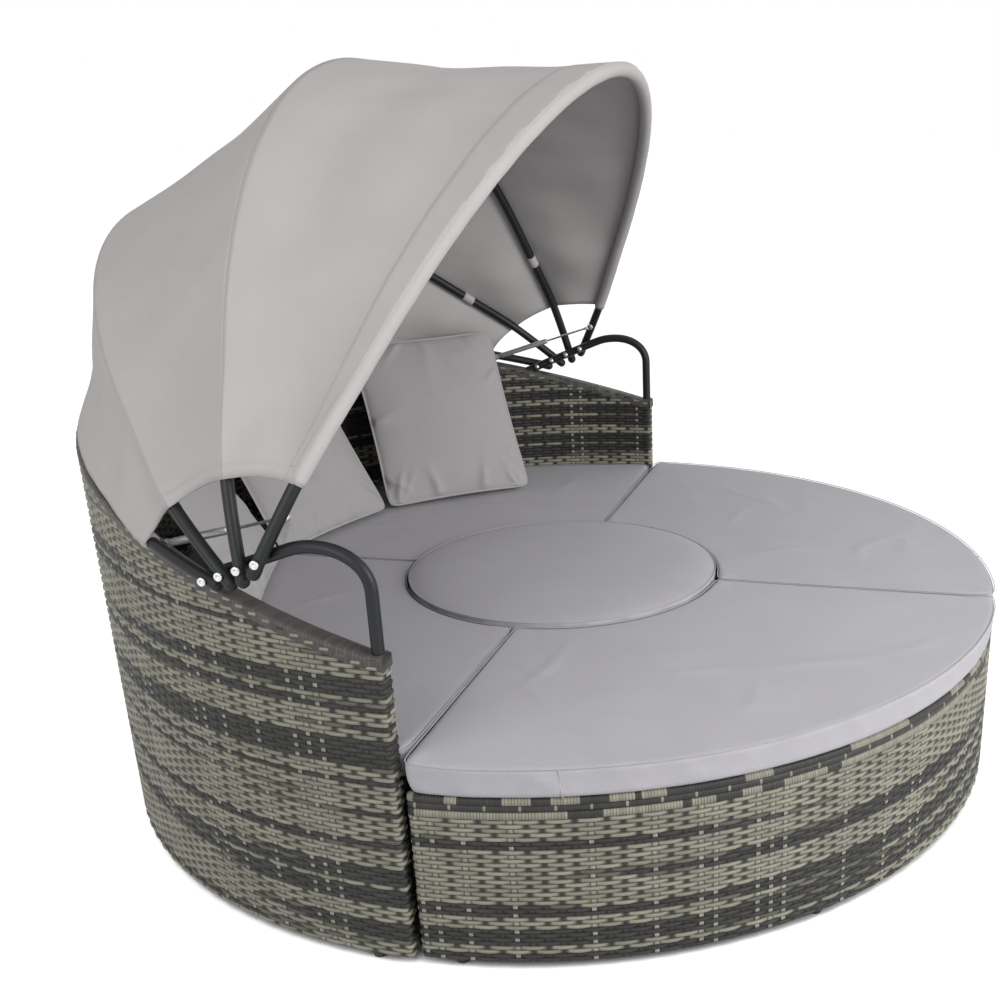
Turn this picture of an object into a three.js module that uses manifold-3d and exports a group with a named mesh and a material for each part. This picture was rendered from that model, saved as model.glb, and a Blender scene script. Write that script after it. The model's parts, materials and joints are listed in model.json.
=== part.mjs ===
// Round garden daybed in four pieces: a wicker half-round sofa with a folding canopy,
// two quarter-ring stools and a round table that close the ring.
// Millimetres, +Z up, front towards -Y, the floor at z = 0, the ring's axis on x = 0.
import * as THREE from 'three';
import { mergeVertices } from 'three/addons/utils/BufferGeometryUtils.js';
import Module from 'manifold-3d';

const wasm = await Module();
wasm.setup();

// The ring of four pieces
const ringRadius = 900;
const wallThickness = 36;
const skinThickness = 4;
const pieceGap = 8;
const stoolSetback = 8;
const tableRadius = 318;
const tableClearance = 20;
const footHeight = 15;
const seatHeight = 315;
const tableRise = 7;
const touchGap = 0.3;
const cutOverrun = 20;
const stoolRadius = ringRadius - stoolSetback;
const tableHeight = seatHeight + tableRise;
const wellRadius = tableRadius + tableClearance;

// The sloping top of the sofa's wall
const armTop = 546;
const armFlatEnd = 30;
const rearTop = 788;

// Bars of the inner frames
const barHeight = 20;
const barWidth = 5;
const barClearance = 4;
const frameDepth = 30;
const postWidth = 20;
const wallPostShares = [0.03, 0.16, 0.33, 0.5, 0.67, 0.84, 0.97];
const seatJoistShares = [0.17, 0.5, 0.83];
const seatLegShares = [0.06, 0.5, 0.94];
const stoolPostShares = [0.05, 0.5, 0.95];
const spigotRadius = 5.5;
const spigotHeight = 40;

// Feet
const footRadius = 13;
const footTipRadius = 10;
const footInset = 22;
const sofaFootShares = [0.026, 0.22, 0.5, 0.78, 0.974];
const stoolFootShares = [0.05, 0.5, 0.95];
const tableFootShares = [0.25, 0.583, 0.917];

// Seat and table cushions
const cushionThickness = 55;
const cushionCrown = 8;
const cushionOverhang = 4;
const cushionGap = 5;
const cushionCorner = 9;
const cushionWallGap = 5;
const wellCushionOverhang = 5;
const tableCushionOverhang = 6;
const borderDrawIn = 3;

// Throw pillows, each leaning back at its own angle round the ring
const pillowWidth = 370;
const pillowHeight = 420;
const pillowThickness = 120;
const pillowDrawIn = 14;
const pillowLean = 31;
const pillowAngles = [110, 75.5, 41];
const pillowBackGap = 36.5;

// Canopy tubes
const tubeRadius = 10;
const tubeWall = 1.5;
const railSpacer = 4.5;
const railLegY = 17;
const railTop = 714;
const railTopY = 96;
const railBend = 62;
const railEndY = 347;
const firstPivotY = 299;
const firstPivotZ = 635;
const pivotPitch = 39.5;
const railSlope = 21.8;
const bowTail = 19.5;
const rimRest = 0.8;

// Bows: how far each reaches past the rim, folded, and the angles of the three that swing
const bowOverhangs = [0, 50, 28, 26];
const openAngles = [137.5, 101.5, 62.7];
const legStraight = 110;
const legBlend = 300;

// Pivot bolts
const boltRadius = 3.8;
const boltHoleRadius = 4.4;
const boltHeadRadius = 7;
const boltHeadHeight = 4.5;
const nutRadius = 6.5;
const nutHeight = 6;

// Gas struts
const strutRearStudLength = 22;
const strutFrontStudLength = 23;
const strutRearReach = 107;
const strutFrontReach = 65;
const strutBodyRadius = 6.5;
const strutBodyLength = 143;
const strutBoreRadius = 2.9;
const strutBoreEnd = 16;
const strutRodRadius = 2.5;
const strutRodGrip = 20;
const strutEyeRadius = 7.5;
const strutEyeWidth = 9;
const strutBallRadius = 4.8;
const strutBallBore = 5.2;
const strutNeckRadius = 2.6;
const strutHeadRadius = 5;
const strutHeadGap = 3;
const strutFreeGap = 3.6;
const strutHeadHeight = 2;

// Canopy cloth
const clothThickness = 2;
const clothStandoff = 3.9;
const clothHem = 124;
const clothScallop = 30;
const clothSag = 14;
const clothJoin = 2.6;
const clothFold = 7;
const clothFoldCount = 5;
const clothEdgePower = 6;

// Facets
const ringSteps = 30;
const quarterSteps = 15;
const tubeSides = 8;
const boreSides = 4;
const bowSteps = 24;
const railSteps = 18;
const roundSides = 10;
const cushionSteps = 13;
const tableCushionSides = 30;
const pillowCells = 10;
const clothAcross = 28;
const clothAlong = 4;

const degree = Math.PI / 180;

// Finishes
function finish(color, roughness, metalness) {
  return new THREE.MeshStandardMaterial({ color, roughness, metalness });
}
const wicker = finish(0x6b6a66, 0.7, 0);
const blackTube = finish(0x1c1d1f, 0.42, 0.3);
const innerSteel = finish(0x3a3b3d, 0.6, 0.6);
const brightSteel = finish(0xb9bcbf, 0.3, 0.9);
const seatCloth = finish(0xa7a1a1, 0.95, 0);
const pillowCloth = finish(0x9f999a, 0.95, 0);
const canopyCloth = finish(0xaba6a5, 0.93, 0);
const blackRubber = finish(0x151515, 0.85, 0);

// Solids and meshes
function toSolid(geometry) {
  const bare = geometry.clone();
  bare.deleteAttribute('normal');
  bare.deleteAttribute('uv');
  const merged = mergeVertices(bare);
  const mesh = new wasm.Mesh({
    numProp: 3,
    vertProperties: merged.getAttribute('position').array,
    triVerts: new Uint32Array(merged.getIndex().array),
  });
  return new wasm.Manifold(mesh);
}

function toGeometry(solid) {
  const mesh = solid.getMesh();
  const geometry = new THREE.BufferGeometry();
  geometry.setAttribute('position', new THREE.BufferAttribute(new Float32Array(mesh.vertProperties), 3));
  geometry.setIndex(new THREE.BufferAttribute(new Uint32Array(mesh.triVerts), 1));
  geometry.computeVertexNormals();
  return geometry;
}

function named(name, geometry, material) {
  const mesh = new THREE.Mesh(geometry, material);
  mesh.name = name;
  return mesh;
}

function gridGeometry(points, triangles) {
  const geometry = new THREE.BufferGeometry();
  const flat = points.flatMap((p) => [p.x, p.y, p.z]);
  geometry.setAttribute('position', new THREE.BufferAttribute(new Float32Array(flat), 3));
  geometry.setIndex(triangles);
  geometry.computeVertexNormals();
  return geometry;
}

// A sector of a ring with flat ends that stand back from the axes by a side inset
function sectorOutline(inner, outer, inset, span, steps) {
  const points = [];
  const arc = (radius, backwards) => {
    const start = Math.asin(inset / radius);
    for (let i = 0; i <= steps; i += 1) {
      const share = backwards ? 1 - i / steps : i / steps;
      const angle = start + (span - start - start) * share;
      points.push(new THREE.Vector2(radius * Math.cos(angle), radius * Math.sin(angle)));
    }
  };
  arc(outer, false);
  arc(inner, true);
  return points;
}

function prism(outline, bottom, top) {
  const geometry = new THREE.ExtrudeGeometry(new THREE.Shape(outline), {
    depth: top - bottom,
    bevelEnabled: false,
  });
  geometry.translate(0, 0, bottom);
  return toSolid(geometry);
}

function sector(inner, outer, inset, span, bottom, top) {
  const steps = span > Math.PI / 2 ? ringSteps : quarterSteps;
  return prism(sectorOutline(inner, outer, inset, span, steps), bottom, top);
}

function box(width, depth, height, x, y, z, turn) {
  const geometry = new THREE.BoxGeometry(width, depth, height);
  geometry.rotateZ(turn);
  geometry.translate(x, y, z);
  return toSolid(geometry);
}

function disc(radius, bottom, top, x, y, sides = roundSides) {
  const geometry = new THREE.CylinderGeometry(radius, radius, top - bottom, sides);
  geometry.rotateX(Math.PI / 2);
  geometry.translate(x, y, (bottom + top) / 2);
  return toSolid(geometry);
}

// A solid of revolution about the X axis, its profile given as radius and place along X
function turned(profile, sides = roundSides) {
  const points = profile.map(([radius, along]) => new THREE.Vector2(radius, along));
  const geometry = new THREE.LatheGeometry(points, sides);
  geometry.rotateZ(-Math.PI / 2);
  return geometry;
}

function sweep(curve, radius, sides, steps) {
  const section = new THREE.Shape();
  for (let i = 0; i < sides; i += 1) {
    const angle = ((i + 0.5) / sides) * Math.PI * 2;
    const corner = [radius * Math.cos(angle), radius * Math.sin(angle)];
    if (i === 0) section.moveTo(...corner);
    else section.lineTo(...corner);
  }
  section.closePath();
  return toSolid(new THREE.ExtrudeGeometry(section, { steps, extrudePath: curve, bevelEnabled: false }));
}

// Height of the wall's top above the floor at a distance behind the ring's axis
function wallTop(y) {
  const slope = (rearTop - armTop) / (ringRadius - armFlatEnd);
  return armTop + Math.max(0, y - armFlatEnd) * slope;
}

// Everything in the half ring that lies below the sloping top, lowered by a depth
function belowTop(depth, bottom) {
  const rear = ringRadius + cutOverrun;
  const corners = [
    [-cutOverrun, bottom],
    [-cutOverrun, armTop - depth],
    [armFlatEnd, armTop - depth],
    [rear, wallTop(rear) - depth],
    [rear, bottom],
  ];
  const profile = new THREE.Shape(corners.map(([y, z]) => new THREE.Vector2(y, z)));
  const width = ringRadius + cutOverrun;
  const geometry = new THREE.ExtrudeGeometry(profile, { depth: width + width, bevelEnabled: false });
  geometry.rotateX(Math.PI / 2);
  geometry.rotateZ(Math.PI / 2);
  geometry.translate(-width, 0, 0);
  return toSolid(geometry);
}

// Canopy rail: up from the arm's front, over a bend and down along the wall into its top
const railRadius = ringRadius - wallThickness / 2;

function onRail(y, z) {
  return new THREE.Vector3(Math.sqrt(railRadius ** 2 - y ** 2), y, z);
}

function pivotPlace(index) {
  const y = firstPivotY - index * pivotPitch * Math.cos(railSlope * degree);
  const z = firstPivotZ + index * pivotPitch * Math.sin(railSlope * degree);
  return { y, z };
}

function railCurve() {
  const drop = Math.tan(railSlope * degree);
  const seat = armTop - frameDepth + touchGap;
  const bendTop = railTop - tubeRadius;
  const slopeZ = (y) => firstPivotZ - (y - firstPivotY) * drop;
  const path = new THREE.CurvePath();
  const legTop = onRail(railLegY, bendTop - railBend);
  const crown = onRail(railTopY, bendTop);
  const slopeStartY = railTopY + railBend;
  const slopeStart = onRail(slopeStartY, slopeZ(slopeStartY));
  path.add(new THREE.LineCurve3(onRail(railLegY, seat), legTop));
  path.add(new THREE.CubicBezierCurve3(
    legTop,
    onRail(railLegY, bendTop - railBend * 0.35),
    onRail(railTopY - railBend * 0.65, bendTop),
    crown,
  ));
  path.add(new THREE.CubicBezierCurve3(
    crown,
    onRail(railTopY + railBend * 0.4, bendTop),
    onRail(slopeStartY - railBend * 0.4, slopeZ(slopeStartY - railBend * 0.4)),
    slopeStart,
  ));
  const slopeSteps = 4;
  let from = slopeStart;
  for (let i = 1; i <= slopeSteps; i += 1) {
    const y = slopeStartY + ((railEndY - slopeStartY) * i) / slopeSteps;
    const to = onRail(y, slopeZ(y));
    path.add(new THREE.LineCurve3(from, to));
    from = to;
  }
  return path;
}

// Bows, each in its own plane through its pivots; folded, they follow the wall's circle
const legOffset = tubeRadius + railSpacer + tubeRadius;
const rimRise = wallTop(railRadius) + tubeRadius + rimRest - firstPivotZ;
const foldedAngle = 180 - Math.atan2(rimRise, railRadius - firstPivotY) / degree;
const bowAngles = [foldedAngle, ...openAngles];
const bowHeights = bowOverhangs.map((overhang, index) => {
  const run = railRadius - pivotPlace(index).y;
  return run / Math.cos((180 - foldedAngle) * degree) + overhang;
});

function smooth(from, to, value) {
  const share = Math.min(1, Math.max(0, (value - from) / (to - from)));
  return share * share * (3 - 2 * share);
}

function bowSine(index) {
  return pivotPlace(index).y / railRadius;
}

// Half width and reach of a bow's axis at an angle of the wall's circle, in the bow's plane
function archAt(index, angle) {
  const start = bowSine(index);
  const reach = (bowHeights[index] * (Math.sin(angle) - start)) / (1 - start);
  const offset = legOffset * (1 - smooth(legStraight, legBlend, reach));
  return { x: railRadius * Math.cos(angle) + offset, reach };
}

function archAngle(index, reach) {
  const start = bowSine(index);
  return Math.asin(start + ((1 - start) * reach) / bowHeights[index]);
}

function bowPlanePoint(index, x, reach, tilt = bowAngles[index]) {
  const { y, z } = pivotPlace(index);
  const angle = tilt * degree;
  return new THREE.Vector3(x, y - reach * Math.cos(angle), z + reach * Math.sin(angle));
}

function bowHalfWidth(index) {
  return archAt(index, archAngle(index, 0)).x;
}

function bowCurve(index) {
  const first = archAngle(index, -bowTail);
  const points = [];
  for (let i = 0; i <= bowSteps; i += 1) {
    const share = (i / bowSteps) * 2 - 1;
    const { x, reach } = archAt(index, first + (Math.PI / 2 - first) * (1 - Math.abs(share)));
    points.push(bowPlanePoint(index, x * Math.sign(share), reach));
  }
  return new THREE.CatmullRomCurve3(points);
}

function crossHole(x, y, z, reach) {
  const geometry = new THREE.CylinderGeometry(boltHoleRadius, boltHoleRadius, reach + reach, tubeSides);
  geometry.rotateZ(Math.PI / 2);
  geometry.translate(x, y, z);
  return toSolid(geometry);
}

function bow(index) {
  const curve = bowCurve(index);
  const wide = bowHalfWidth(index);
  let solid = sweep(curve, tubeRadius, tubeSides, bowSteps);
  for (const side of [1, -1]) {
    const end = bowPlanePoint(index, side * archAt(index, archAngle(index, -bowTail)).x, -bowTail);
    const cap = new THREE.SphereGeometry(tubeRadius, tubeSides, boreSides);
    cap.rotateX(bowAngles[index] * -degree);
    cap.translate(end.x, end.y, end.z);
    solid = solid.add(toSolid(cap));
  }
  solid = solid.subtract(sweep(curve, tubeRadius - tubeWall, boreSides, bowSteps));
  const { y, z } = pivotPlace(index);
  for (const side of [1, -1]) {
    solid = solid.subtract(crossHole(side * wide, y, z, legOffset));
  }
  return toGeometry(solid);
}

function rail(side) {
  const curve = railCurve();
  let solid = sweep(curve, tubeRadius, tubeSides, railSteps);
  solid = solid.subtract(sweep(curve, tubeRadius - tubeWall, boreSides, railSteps));
  for (let index = 0; index < bowAngles.length; index += 1) {
    const { y, z } = pivotPlace(index);
    solid = solid.subtract(crossHole(onRail(y, z).x, y, z, legOffset));
  }
  return toGeometry(side > 0 ? solid : solid.mirror([1, 0, 0]));
}

// A bolt whose head and nut stand off far enough for the slant of the tubes
function pivotBolt(index, side) {
  const { y, z } = pivotPlace(index);
  const railX = onRail(y, z).x;
  const slant = y / railX;
  const nutStart = railX - tubeRadius - touchGap - nutRadius * slant;
  const headStart = bowHalfWidth(index) + tubeRadius + touchGap + boltHeadRadius * slant;
  const geometry = turned([
    [0, nutStart - nutHeight],
    [nutRadius, nutStart - nutHeight],
    [nutRadius, nutStart],
    [boltRadius, nutStart],
    [boltRadius, headStart],
    [boltHeadRadius, headStart],
    [boltHeadRadius, headStart + boltHeadHeight / 2],
    [boltHeadRadius * 0.7, headStart + boltHeadHeight],
    [0, headStart + boltHeadHeight],
  ], tubeSides);
  if (side < 0) geometry.rotateZ(Math.PI);
  geometry.translate(0, y, z);
  return geometry;
}

// Gas struts: ball studs on the rear and the front bow carry a cylinder and its rod
const lastBow = bowAngles.length - 1;
const strutRearInset = archAt(0, archAngle(0, strutRearReach)).x - strutRearStudLength;
const strutFrontAxis = archAt(lastBow, archAngle(lastBow, strutFrontReach)).x;
const strutFrontInset = strutFrontAxis - strutFrontStudLength;
const strutRear = bowPlanePoint(0, strutRearInset, strutRearReach);
const strutFront = bowPlanePoint(lastBow, strutFrontInset, strutFrontReach);
const strutLength = strutRear.distanceTo(strutFront);

// Lays a geometry made along +X from the rear ball onto the strut's line
function alongStrut(geometry) {
  const line = strutFront.clone().sub(strutRear).normalize();
  const across = new THREE.Vector3(1, 0, 0).addScaledVector(line, -line.x).normalize();
  const third = new THREE.Vector3().crossVectors(line, across);
  const matrix = new THREE.Matrix4().makeBasis(line, across, third);
  matrix.setPosition(strutRear);
  return geometry.applyMatrix4(matrix);
}

function strutEye(along) {
  const ring = new THREE.CylinderGeometry(strutEyeRadius, strutEyeRadius, strutEyeWidth, roundSides);
  ring.translate(along, 0, 0);
  return toSolid(alongStrut(ring));
}

function strutBore(along) {
  const hole = new THREE.CylinderGeometry(strutBallBore, strutBallBore, cutOverrun, roundSides);
  hole.translate(along, 0, 0);
  return toSolid(alongStrut(hole));
}

function sided(solid, side) {
  return toGeometry(side > 0 ? solid : solid.mirror([1, 0, 0]));
}

function strutCylinder(side) {
  const body = turned([
    [0, strutBallBore],
    [strutBodyRadius, strutBallBore],
    [strutBodyRadius, strutBodyLength],
    [strutBoreRadius, strutBodyLength],
    [strutBoreRadius, strutBoreEnd],
    [0, strutBoreEnd],
  ]);
  const solid = toSolid(alongStrut(body)).add(strutEye(0)).subtract(strutBore(0));
  return sided(solid, side);
}

function strutRod(side) {
  const start = strutBodyLength - strutRodGrip;
  const rod = turned([
    [0, start],
    [strutRodRadius, start],
    [strutRodRadius, strutLength],
    [0, strutLength],
  ], tubeSides);
  const solid = toSolid(alongStrut(rod)).add(strutEye(strutLength)).subtract(strutBore(strutLength));
  return sided(solid, side);
}

// A stud made along X reaches a bow's axis and is cut back to just clear of the bow's tube
function studOn(index, place, geometry, side) {
  geometry.translate(0, place.y, place.z);
  const clear = sweep(bowCurve(index), tubeRadius + touchGap, tubeSides, bowSteps);
  return sided(toSolid(geometry).subtract(clear), side);
}

// Ball studs: a neck out of the bow's inner side, a ball and, at the rear, a round head
function strutRearStud(side) {
  const axis = archAt(0, archAngle(0, strutRearReach)).x;
  const ball = strutRearInset;
  const edge = strutEyeWidth / 2 + strutHeadGap;
  const geometry = turned([
    [0, ball - edge - strutHeadHeight],
    [strutHeadRadius, ball - edge - strutHeadHeight],
    [strutHeadRadius, ball - edge],
    [strutNeckRadius, ball - edge],
    [strutNeckRadius, ball - strutBallRadius],
    [strutBallRadius, ball - strutNeckRadius / 2],
    [strutBallRadius, ball + strutNeckRadius / 2],
    [strutNeckRadius, ball + strutBallRadius],
    [strutNeckRadius, axis],
    [0, axis],
  ], tubeSides);
  return studOn(0, strutRear, geometry, side);
}

// The front stud stops short of the rod's eye, which leaves that joint free
function strutFrontStud(side) {
  const tip = strutFrontInset + strutEyeWidth / 2 + strutFreeGap;
  const geometry = turned([
    [0, tip],
    [strutHeadRadius, tip],
    [strutHeadRadius, tip + strutHeadHeight],
    [strutNeckRadius, tip + strutHeadHeight],
    [strutNeckRadius, strutFrontAxis],
    [0, strutFrontAxis],
  ], tubeSides);
  return studOn(lastBow, strutFront, geometry, side);
}

// Canopy cloth between two bows: a thin sheet that clears the bows, sags and has soft folds
function clothPoint(index, share) {
  const hem = archAngle(index, clothHem);
  const angle = hem + (Math.PI / 2 - hem) * (1 - Math.abs(share));
  const here = archAt(index, angle);
  const next = archAt(index, angle - degree);
  const length = Math.hypot(next.x - here.x, here.reach - next.reach);
  const grow = (tubeRadius + clothStandoff) / length;
  const x = here.x + (here.reach - next.reach) * grow;
  const reach = here.reach + (next.x - here.x) * grow;
  return bowPlanePoint(index, x * (share < 0 ? -1 : 1), reach);
}

function clothPanel(from, to) {
  const rows = [];
  const centre = bowPlanePoint(to, 0, 0);
  for (let j = 0; j <= clothAlong; j += 1) {
    const row = [];
    const along = j / clothAlong;
    const belly = Math.sin(along * Math.PI);
    for (let i = 0; i <= clothAcross; i += 1) {
      const share = (i / clothAcross) * 2 - 1;
      const start = clothPoint(from, share);
      const end = clothPoint(to, share);
      const span = end.clone().sub(start);
      const trim = span.setLength(clothJoin / 2);
      const point = start.add(trim).lerp(end.sub(trim), along);
      const waves = Math.sin(Math.abs(share) * clothFoldCount * Math.PI) * clothFold * share * share;
      const outward = point.clone().sub(centre).normalize();
      const hemLift = clothScallop * Math.abs(share) ** clothEdgePower;
      const lift = new THREE.Vector3(0, outward.y, outward.z).normalize();
      point.addScaledVector(outward, -(clothSag + waves) * belly);
      point.addScaledVector(lift, hemLift * belly);
      row.push(point);
    }
    rows.push(row);
  }
  return thickened(rows, clothThickness);
}

// Closes a grid of points into a thin sheet by a second grid, moved along the normals
function thickened(rows, thickness) {
  const down = rows.length;
  const across = rows[0].length;
  const normals = rows.map((row, j) => row.map((point, i) => {
    const alongRow = row[Math.min(i + 1, across - 1)].clone().sub(row[Math.max(i - 1, 0)]);
    const alongColumn = rows[Math.min(j + 1, down - 1)][i].clone().sub(rows[Math.max(j - 1, 0)][i]);
    return alongRow.cross(alongColumn).normalize();
  }));
  const points = [];
  rows.forEach((row, j) => row.forEach((point, i) => {
    points.push(point.clone().addScaledVector(normals[j][i], thickness / 2));
  }));
  rows.forEach((row, j) => row.forEach((point, i) => {
    points.push(point.clone().addScaledVector(normals[j][i], -thickness / 2));
  }));
  const under = down * across;
  const triangles = [];
  const quad = (a, b, c, d) => triangles.push(a, b, c, a, c, d);
  for (let j = 0; j < down - 1; j += 1) {
    for (let i = 0; i < across - 1; i += 1) {
      const a = j * across + i;
      quad(a, a + 1, a + across + 1, a + across);
      quad(under + a, under + a + across, under + a + across + 1, under + a + 1);
    }
  }
  for (let i = 0; i < across - 1; i += 1) {
    const last = (down - 1) * across + i;
    quad(i + 1, i, under + i, under + i + 1);
    quad(last, last + 1, under + last + 1, under + last);
  }
  for (let j = 0; j < down - 1; j += 1) {
    const a = j * across;
    const b = a + across - 1;
    quad(a, a + across, under + a + across, under + a);
    quad(b + across, b, under + b, under + b + across);
  }
  return gridGeometry(points, triangles);
}

// Sofa: woven wall, woven seat and their frames
const wallInner = ringRadius - wallThickness;
const sideInset = pieceGap / 2;

function wallSkin() {
  const outer = sector(wallInner, ringRadius, sideInset, Math.PI, footHeight, rearTop + cutOverrun);
  const cavity = sector(
    wallInner + skinThickness,
    ringRadius - skinThickness,
    sideInset + skinThickness,
    Math.PI,
    footHeight - cutOverrun,
    rearTop + cutOverrun,
  );
  let skin = outer.intersect(belowTop(0, footHeight - cutOverrun));
  skin = skin.subtract(cavity.intersect(belowTop(skinThickness, footHeight - cutOverrun - cutOverrun)));
  const socket = sweep(railCurve(), tubeRadius + touchGap, tubeSides, railSteps);
  return toGeometry(skin.subtract(socket).subtract(socket.mirror([1, 0, 0])));
}

function wallFrame() {
  const inner = railRadius - barWidth / 2;
  const outer = railRadius + barWidth / 2;
  const inset = sideInset + skinThickness + barClearance;
  const ring = sector(inner, outer, inset, Math.PI, footHeight, rearTop + cutOverrun);
  const top = ring.intersect(belowTop(frameDepth, footHeight));
  let frame = top.subtract(belowTop(frameDepth + barHeight, footHeight - cutOverrun));
  frame = frame.add(sector(inner, outer, inset, Math.PI, footHeight, footHeight + barHeight));
  for (const share of wallPostShares) {
    const angle = share * Math.PI;
    const x = railRadius * Math.cos(angle);
    const y = railRadius * Math.sin(angle);
    const post = box(barWidth, postWidth, rearTop, x, y, footHeight + rearTop / 2, angle);
    frame = frame.add(post.intersect(belowTop(frameDepth + barHeight / 2, footHeight)));
  }
  const legX = onRail(railLegY, 0).x;
  const barTop = armTop - frameDepth;
  for (const side of [1, -1]) {
    frame = frame.add(disc(spigotRadius, barTop - barHeight / 2, barTop + spigotHeight, side * legX, railLegY, tubeSides));
  }
  return toGeometry(frame);
}

// A woven box over a ring sector: skirts down to the floor gap and a closed top
function skirtedSector(inner, outer, span, top) {
  const shell = sector(inner, outer, sideInset, span, footHeight, top);
  const cavity = sector(
    inner + skinThickness,
    outer - skinThickness,
    sideInset + skinThickness,
    span,
    footHeight - cutOverrun,
    top - skinThickness,
  );
  return shell.subtract(cavity);
}

function seatSkin() {
  const outer = wallInner - touchGap;
  const open = sector(
    outer - skinThickness - skinThickness,
    outer + cutOverrun,
    sideInset + skinThickness,
    Math.PI,
    footHeight - cutOverrun,
    seatHeight - skinThickness,
  );
  return toGeometry(skirtedSector(wellRadius, outer, Math.PI, seatHeight).subtract(open));
}

function frameRing(inner, outer, inset, span, bottom) {
  const solid = sector(inner, outer, inset, span, bottom, bottom + barHeight);
  const hollow = sector(
    inner + barWidth,
    outer - barWidth,
    inset + barWidth,
    span,
    bottom - cutOverrun,
    bottom + barHeight + cutOverrun,
  );
  return solid.subtract(hollow);
}

function seatFrame() {
  const inner = wellRadius + skinThickness + barClearance;
  const outer = wallInner - touchGap - touchGap;
  const inset = sideInset + skinThickness + barClearance;
  const top = seatHeight - skinThickness - touchGap;
  const bottom = top - barHeight;
  let frame = frameRing(inner, outer, inset, Math.PI, bottom);
  for (const share of seatJoistShares) {
    const angle = share * Math.PI;
    const reach = (inner + outer) / 2;
    const length = outer - inner - barWidth;
    const x = reach * Math.cos(angle);
    const y = reach * Math.sin(angle);
    frame = frame.add(box(length, barWidth, barHeight, x, y, bottom + barHeight / 2, angle));
  }
  for (const share of seatLegShares) {
    const angle = share * Math.PI;
    const reach = inner + barWidth / 2;
    const x = reach * Math.cos(angle);
    const y = reach * Math.sin(angle);
    const height = top - footHeight - barHeight / 2;
    frame = frame.add(box(barWidth, postWidth, height, x, y, footHeight + height / 2, angle));
  }
  return toGeometry(frame);
}

// Stools and table
function stoolSkin() {
  return toGeometry(skirtedSector(wellRadius, stoolRadius, Math.PI / 2, seatHeight));
}

function stoolFrame() {
  const inner = wellRadius + skinThickness + barClearance;
  const outer = stoolRadius - skinThickness - barClearance;
  const inset = sideInset + skinThickness + barClearance;
  const top = seatHeight - skinThickness - touchGap;
  let frame = frameRing(inner, outer, inset, Math.PI / 2, top - barHeight);
  frame = frame.add(frameRing(inner, outer, inset, Math.PI / 2, footHeight));
  for (const share of stoolPostShares) {
    const angle = (share * Math.PI) / 2;
    for (const reach of [inner + barWidth / 2, outer - barWidth / 2]) {
      const height = top - footHeight - barHeight;
      const x = reach * Math.cos(angle);
      const y = reach * Math.sin(angle);
      const middle = footHeight + barHeight / 2 + height / 2;
      frame = frame.add(box(barWidth, postWidth, height, x, y, middle, angle));
    }
  }
  return toGeometry(frame);
}

function tableSkin() {
  const shell = disc(tableRadius, footHeight, tableHeight, 0, 0, ringSteps);
  const cavity = disc(
    tableRadius - skinThickness,
    footHeight - cutOverrun,
    tableHeight - skinThickness,
    0,
    0,
    ringSteps,
  );
  return toGeometry(shell.subtract(cavity));
}

function tableFrame() {
  const outer = tableRadius - skinThickness - barClearance;
  const top = tableHeight - skinThickness - touchGap;
  const hoop = (bottom) => disc(outer, bottom, bottom + barHeight, 0, 0, ringSteps).subtract(
    disc(outer - barWidth, bottom - cutOverrun, bottom + barHeight + cutOverrun, 0, 0, ringSteps),
  );
  let frame = hoop(footHeight).add(hoop(top - barHeight));
  for (const share of tableFootShares) {
    const angle = share * Math.PI * 2;
    const reach = outer - barWidth / 2 - barWidth / 2;
    const height = top - footHeight - barHeight;
    const x = reach * Math.cos(angle);
    const y = reach * Math.sin(angle);
    frame = frame.add(box(barWidth, postWidth, height, x, y, footHeight + barHeight / 2 + height / 2, angle));
    const spoke = outer - barWidth;
    const half = spoke / 2;
    const z = top - barHeight / 2;
    frame = frame.add(box(spoke, barWidth, barHeight, half * Math.cos(angle), half * Math.sin(angle), z, angle));
  }
  return toGeometry(frame);
}

function foot() {
  const top = footHeight - touchGap;
  const points = [
    new THREE.Vector2(0, 0),
    new THREE.Vector2(footTipRadius, 0),
    new THREE.Vector2(footRadius, top / 2),
    new THREE.Vector2(footRadius, top),
    new THREE.Vector2(0, top),
  ];
  const geometry = new THREE.LatheGeometry(points, tubeSides);
  geometry.rotateX(Math.PI / 2);
  return geometry;
}

// Seat cushions: a boxed section with a crowned top and a drawn-in border, swept round the ring
function cushionSection(inner, outer, squeeze) {
  const half = (outer - inner) / 2 - squeeze;
  const middle = (outer + inner) / 2;
  const low = squeeze * 0.8;
  const high = cushionThickness - squeeze * 0.8;
  const mid = cushionThickness / 2;
  const crown = cushionCrown * (1 - squeeze / (cushionCorner + cushionCorner));
  return [
    [middle - half + cushionCorner, low],
    [middle - half, low + cushionCorner / 2],
    [middle - half + borderDrawIn, mid],
    [middle - half, high - cushionCorner / 2],
    [middle - half + cushionCorner, high],
    [middle - half * 0.5, high + crown * 0.8],
    [middle, high + crown],
    [middle + half * 0.5, high + crown * 0.8],
    [middle + half - cushionCorner, high],
    [middle + half, high - cushionCorner / 2],
    [middle + half - borderDrawIn, mid],
    [middle + half, low + cushionCorner / 2],
    [middle + half - cushionCorner, low],
  ];
}

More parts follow.
